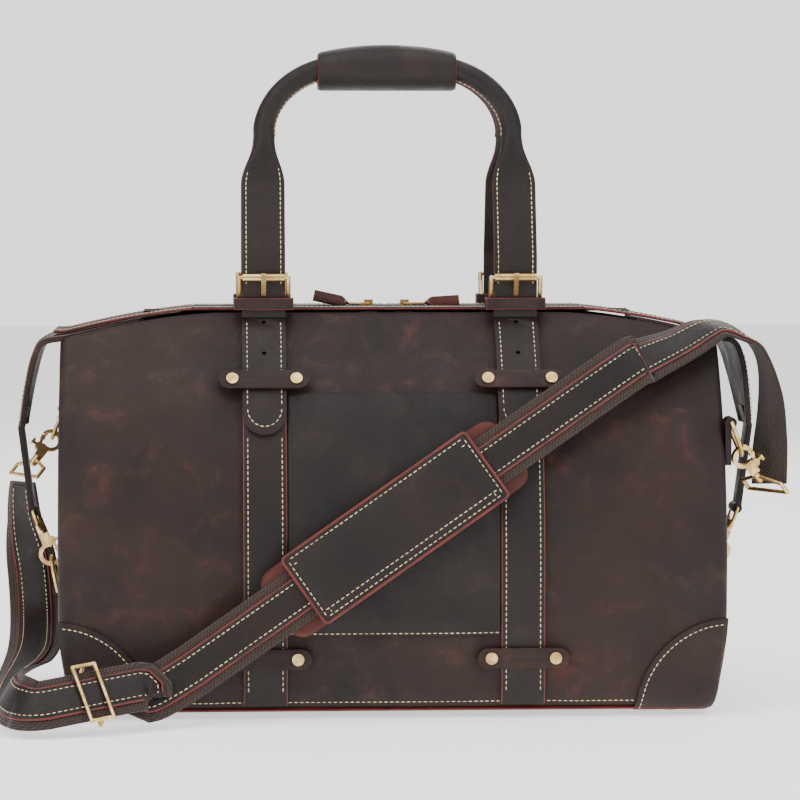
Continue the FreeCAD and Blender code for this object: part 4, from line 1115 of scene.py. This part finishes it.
def make_grip():
    """The front half of the wrap round both rolls, higher in its middle and curled in at its lower edge."""
    rows = []
    for x in np.linspace(-0.0535, 0.0535, 40):
        u = abs(x) / 0.0535
        top = 0.0186 - 0.0062 * u ** 2.2
        end = math.sqrt(max(0.0, 1 - max(0.0, (u - 0.955) / 0.045) ** 2)) * 0.06 + 0.94
        row = []
        for a in np.linspace(92, 258, 34):
            r = math.radians(a)
            y = -0.0204 * abs(math.cos(r)) ** 0.85 * end
            rounded = math.copysign(abs(math.sin(r)) ** 0.9, math.sin(r))
            z = 0.4872 + (top if a < 180 else 0.0172) * rounded * end
            y = min(y, -0.0004)
            fold = 0.0005 * ripple(x * 1.5, z * 2, 0.9)
            row.append((x, y - fold if y < -0.003 else y, z))
        rows.append(row)
    return sheet_grid("front_grip_leather", rows, STRAP_HIDE, EDGE)


grip = facing_out(make_grip(), (0, 0, 0.4875))
thicken(grip, 0.0024)
round_edges(grip, 0.0008, 3, 1, 60)
smooth_by_angle(grip, 50)
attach(grip, "front_handle")
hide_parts("front_grip_wrap")
rear_grip = mirrored(grip, "rear_grip_leather", "y", "rear_handle")
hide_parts("rear_grip_wrap")
low_row = []
for x in np.linspace(-0.0505, 0.0505, 40):
    low_row.append(Vector((x, -0.0163, 0.4772)))
low_outs = [Vector((0, -1, -0.75))] * len(low_row)
stitched("front_grip_stitches", [(low_row, low_outs)], "front_handle", 0.0036)
stitched("rear_grip_stitches", turned([(low_row, low_outs)], ((1, -1),)), "rear_handle", 0.0036)


# ---- zip mouth ----

def lip_half(end, side):
    """Half of a zip facing, from the mouth's end to its middle, in fine steps, with its half of the zip tape."""
    sy, sx = (1 if end == "front" else -1), (1 if side == "right" else -1)
    path = [Vector((sx * x, sy * -0.0221, 0.3034)) for x in np.linspace(0.1502, 0.0, 40)]
    wall = band(0.0158, -0.0010, 0.0010, 0.0004, 0.0006)
    piece = swept(end + "_facing_" + side, path, [Vector((0, 0, 1))] * 40, wall, STRAP_HIDE, EDGE)
    for face in piece.data.polygons:
        spread = {v % BAND_POINTS for v in face.vertices}
        if len(face.vertices) == 4 and spread & {0, 3}:
            face.material_index = 1
    smooth_by_angle(piece, 60)
    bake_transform(piece)
    tape_path = [Vector((sx * x, sy * -0.0082, 0.3009)) for x in np.linspace(0.188, 0.0, 50)]
    section = band(0.0078, -0.0004, 0.0004, 0, 0.0002)
    tape = swept(end + "_tape_" + side, tape_path, [Vector((0, 0, 1))] * 50, section, ZIP_CLOTH)
    smooth_by_angle(tape, 60)
    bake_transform(tape)
    return piece, tape


BLOCK_FACES = ((0, 1, 3, 2), (4, 6, 7, 5), (0, 4, 5, 1), (2, 3, 7, 6), (0, 2, 6, 4), (1, 5, 7, 3))


def zip_teeth(end, side):
    """Metal teeth set along the tape's edge."""
    sy, sx = (1 if end == "front" else -1), (1 if side == "right" else -1)
    points, faces = [], []
    shift = 0.0 if end == "front" else 0.0012
    for x in np.arange(0.0245, 0.186, 0.0024):
        low = (sx * (x + shift) - 0.0006, sy * -0.0026, 0.3004)
        high = (sx * (x + shift) + 0.0006, sy * 0.0006, 0.3021)
        base = len(points)
        for k in range(8):
            points.append(tuple((low, high)[(k >> i) & 1][i] for i in range(3)))
        faces += [tuple(base + v for v in f) for f in BLOCK_FACES]
    piece = from_faces(end + "_teeth_" + side, points, faces, STEEL_WIRE)
    select_only(piece)
    bpy.ops.object.mode_set(mode="EDIT")
    bpy.ops.mesh.select_all(action="SELECT")
    bpy.ops.mesh.normals_make_consistent(inside=False)
    bpy.ops.object.mode_set(mode="OBJECT")
    smooth_by_angle(piece, 30)
    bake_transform(piece)


for end in ("front", "rear"):
    for side in ("left", "right"):
        facing, tape = lip_half(end, side)
        zip_teeth(end, side)
        if side == "left":
            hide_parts(end + "_zip_facing")
            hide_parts(end + "_zip_tape")
for end, sy in (("front", 1), ("rear", -1)):
    for side, sx in (("left", -1), ("right", 1)):
        path = [Vector((sx * x, sy * -0.0350, 0.3046)) for x in np.linspace(0.149, 0.002, 60)]
        piece = stitched(end + "_facing_stitches_" + side, [(path, [Vector((0, 0, 1))] * 60)], "bag", 0.0036)
        piece.parent = None
        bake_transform(piece)


# ---- metalwork and what stays as cut ----

PLAIN = {
    "base_board": BOARD,
}
for name, node in frame["nodes"].items():
    node.data.materials.clear()
    node.data.materials.append(PLAIN.get(name, BRASS))
    smooth_by_angle(node, 35)


# ---- floor, light and camera ----

def floor():
    f = Finish("pale_floor")
    glow = {"Emission_Color": (1, 1, 1, 1), "Emission_Strength": 0.95}
    rough = f.ramp(f.noise(4.0), 0.3, 0.7, 0.7, 0.8)
    return f.done(shade(246, 245, 243), rough, f.bump(f.noise(60.0), 0.02, 0.001), **glow)


bpy.ops.object.select_all(action="DESELECT")
bpy.ops.mesh.primitive_plane_add(size=14, location=(0, 0, 0))
ground = bpy.context.active_object
ground.name = "studio_floor"
ground.data.materials.append(floor())


def soft_box(name, place, aim, size, power):
    lamp = bpy.data.lights.new(name, "AREA")
    lamp.shape = "RECTANGLE"
    lamp.size, lamp.size_y = size
    lamp.energy = power
    obj = bpy.data.objects.new(name, lamp)
    bpy.context.scene.collection.objects.link(obj)
    obj.location = place
    obj.rotation_mode = "QUATERNION"
    obj.rotation_quaternion = (Vector(aim) - Vector(place)).to_track_quat("-Z", "Y")


soft_box("top_light", (0.0, -0.5, 2.2), (0, 0, 0.2), (2.4, 2.0), 40)
soft_box("left_light", (-1.9, -1.6, 1.2), (0, 0, 0.25), (1.4, 1.8), 34)
soft_box("right_light", (1.9, -1.5, 1.1), (0, 0, 0.25), (1.2, 1.8), 26)
soft_box("rear_light", (0.3, 2.2, 1.6), (0, 0, 0.3), (2.0, 1.4), 24)
world = bpy.data.worlds.new("studio")
bpy.context.scene.world = world
world.use_nodes = True
sky = world.node_tree.nodes["Background"]
sky.inputs[0].default_value = (1, 1, 1, 1)
seen = world.node_tree.nodes.new("ShaderNodeLightPath").outputs["Is Camera Ray"]
level = world.node_tree.nodes.new("ShaderNodeMapRange")
world.node_tree.links.new(seen, level.inputs[0])
level.inputs[3].default_value = 0.5
level.inputs[4].default_value = 1.75
world.node_tree.links.new(level.outputs[0], sky.inputs[1])

lens = bpy.data.cameras.new("camera")
lens.lens = 155
lens.sensor_width = 36
camera = bpy.data.objects.new("camera", lens)
bpy.context.scene.collection.objects.link(camera)
AIM = Vector((0.0095, -0.02, 0.232))
turn, rise, far = math.radians(-3.0), math.radians(3.6), 2.66
away = Vector((math.sin(turn) * math.cos(rise), -math.cos(turn) * math.cos(rise), math.sin(rise)))
camera.location = AIM + away * far
camera.rotation_mode = "QUATERNION"
camera.rotation_quaternion = (AIM - camera.location).to_track_quat("-Z", "Y")
bpy.context.scene.camera = camera
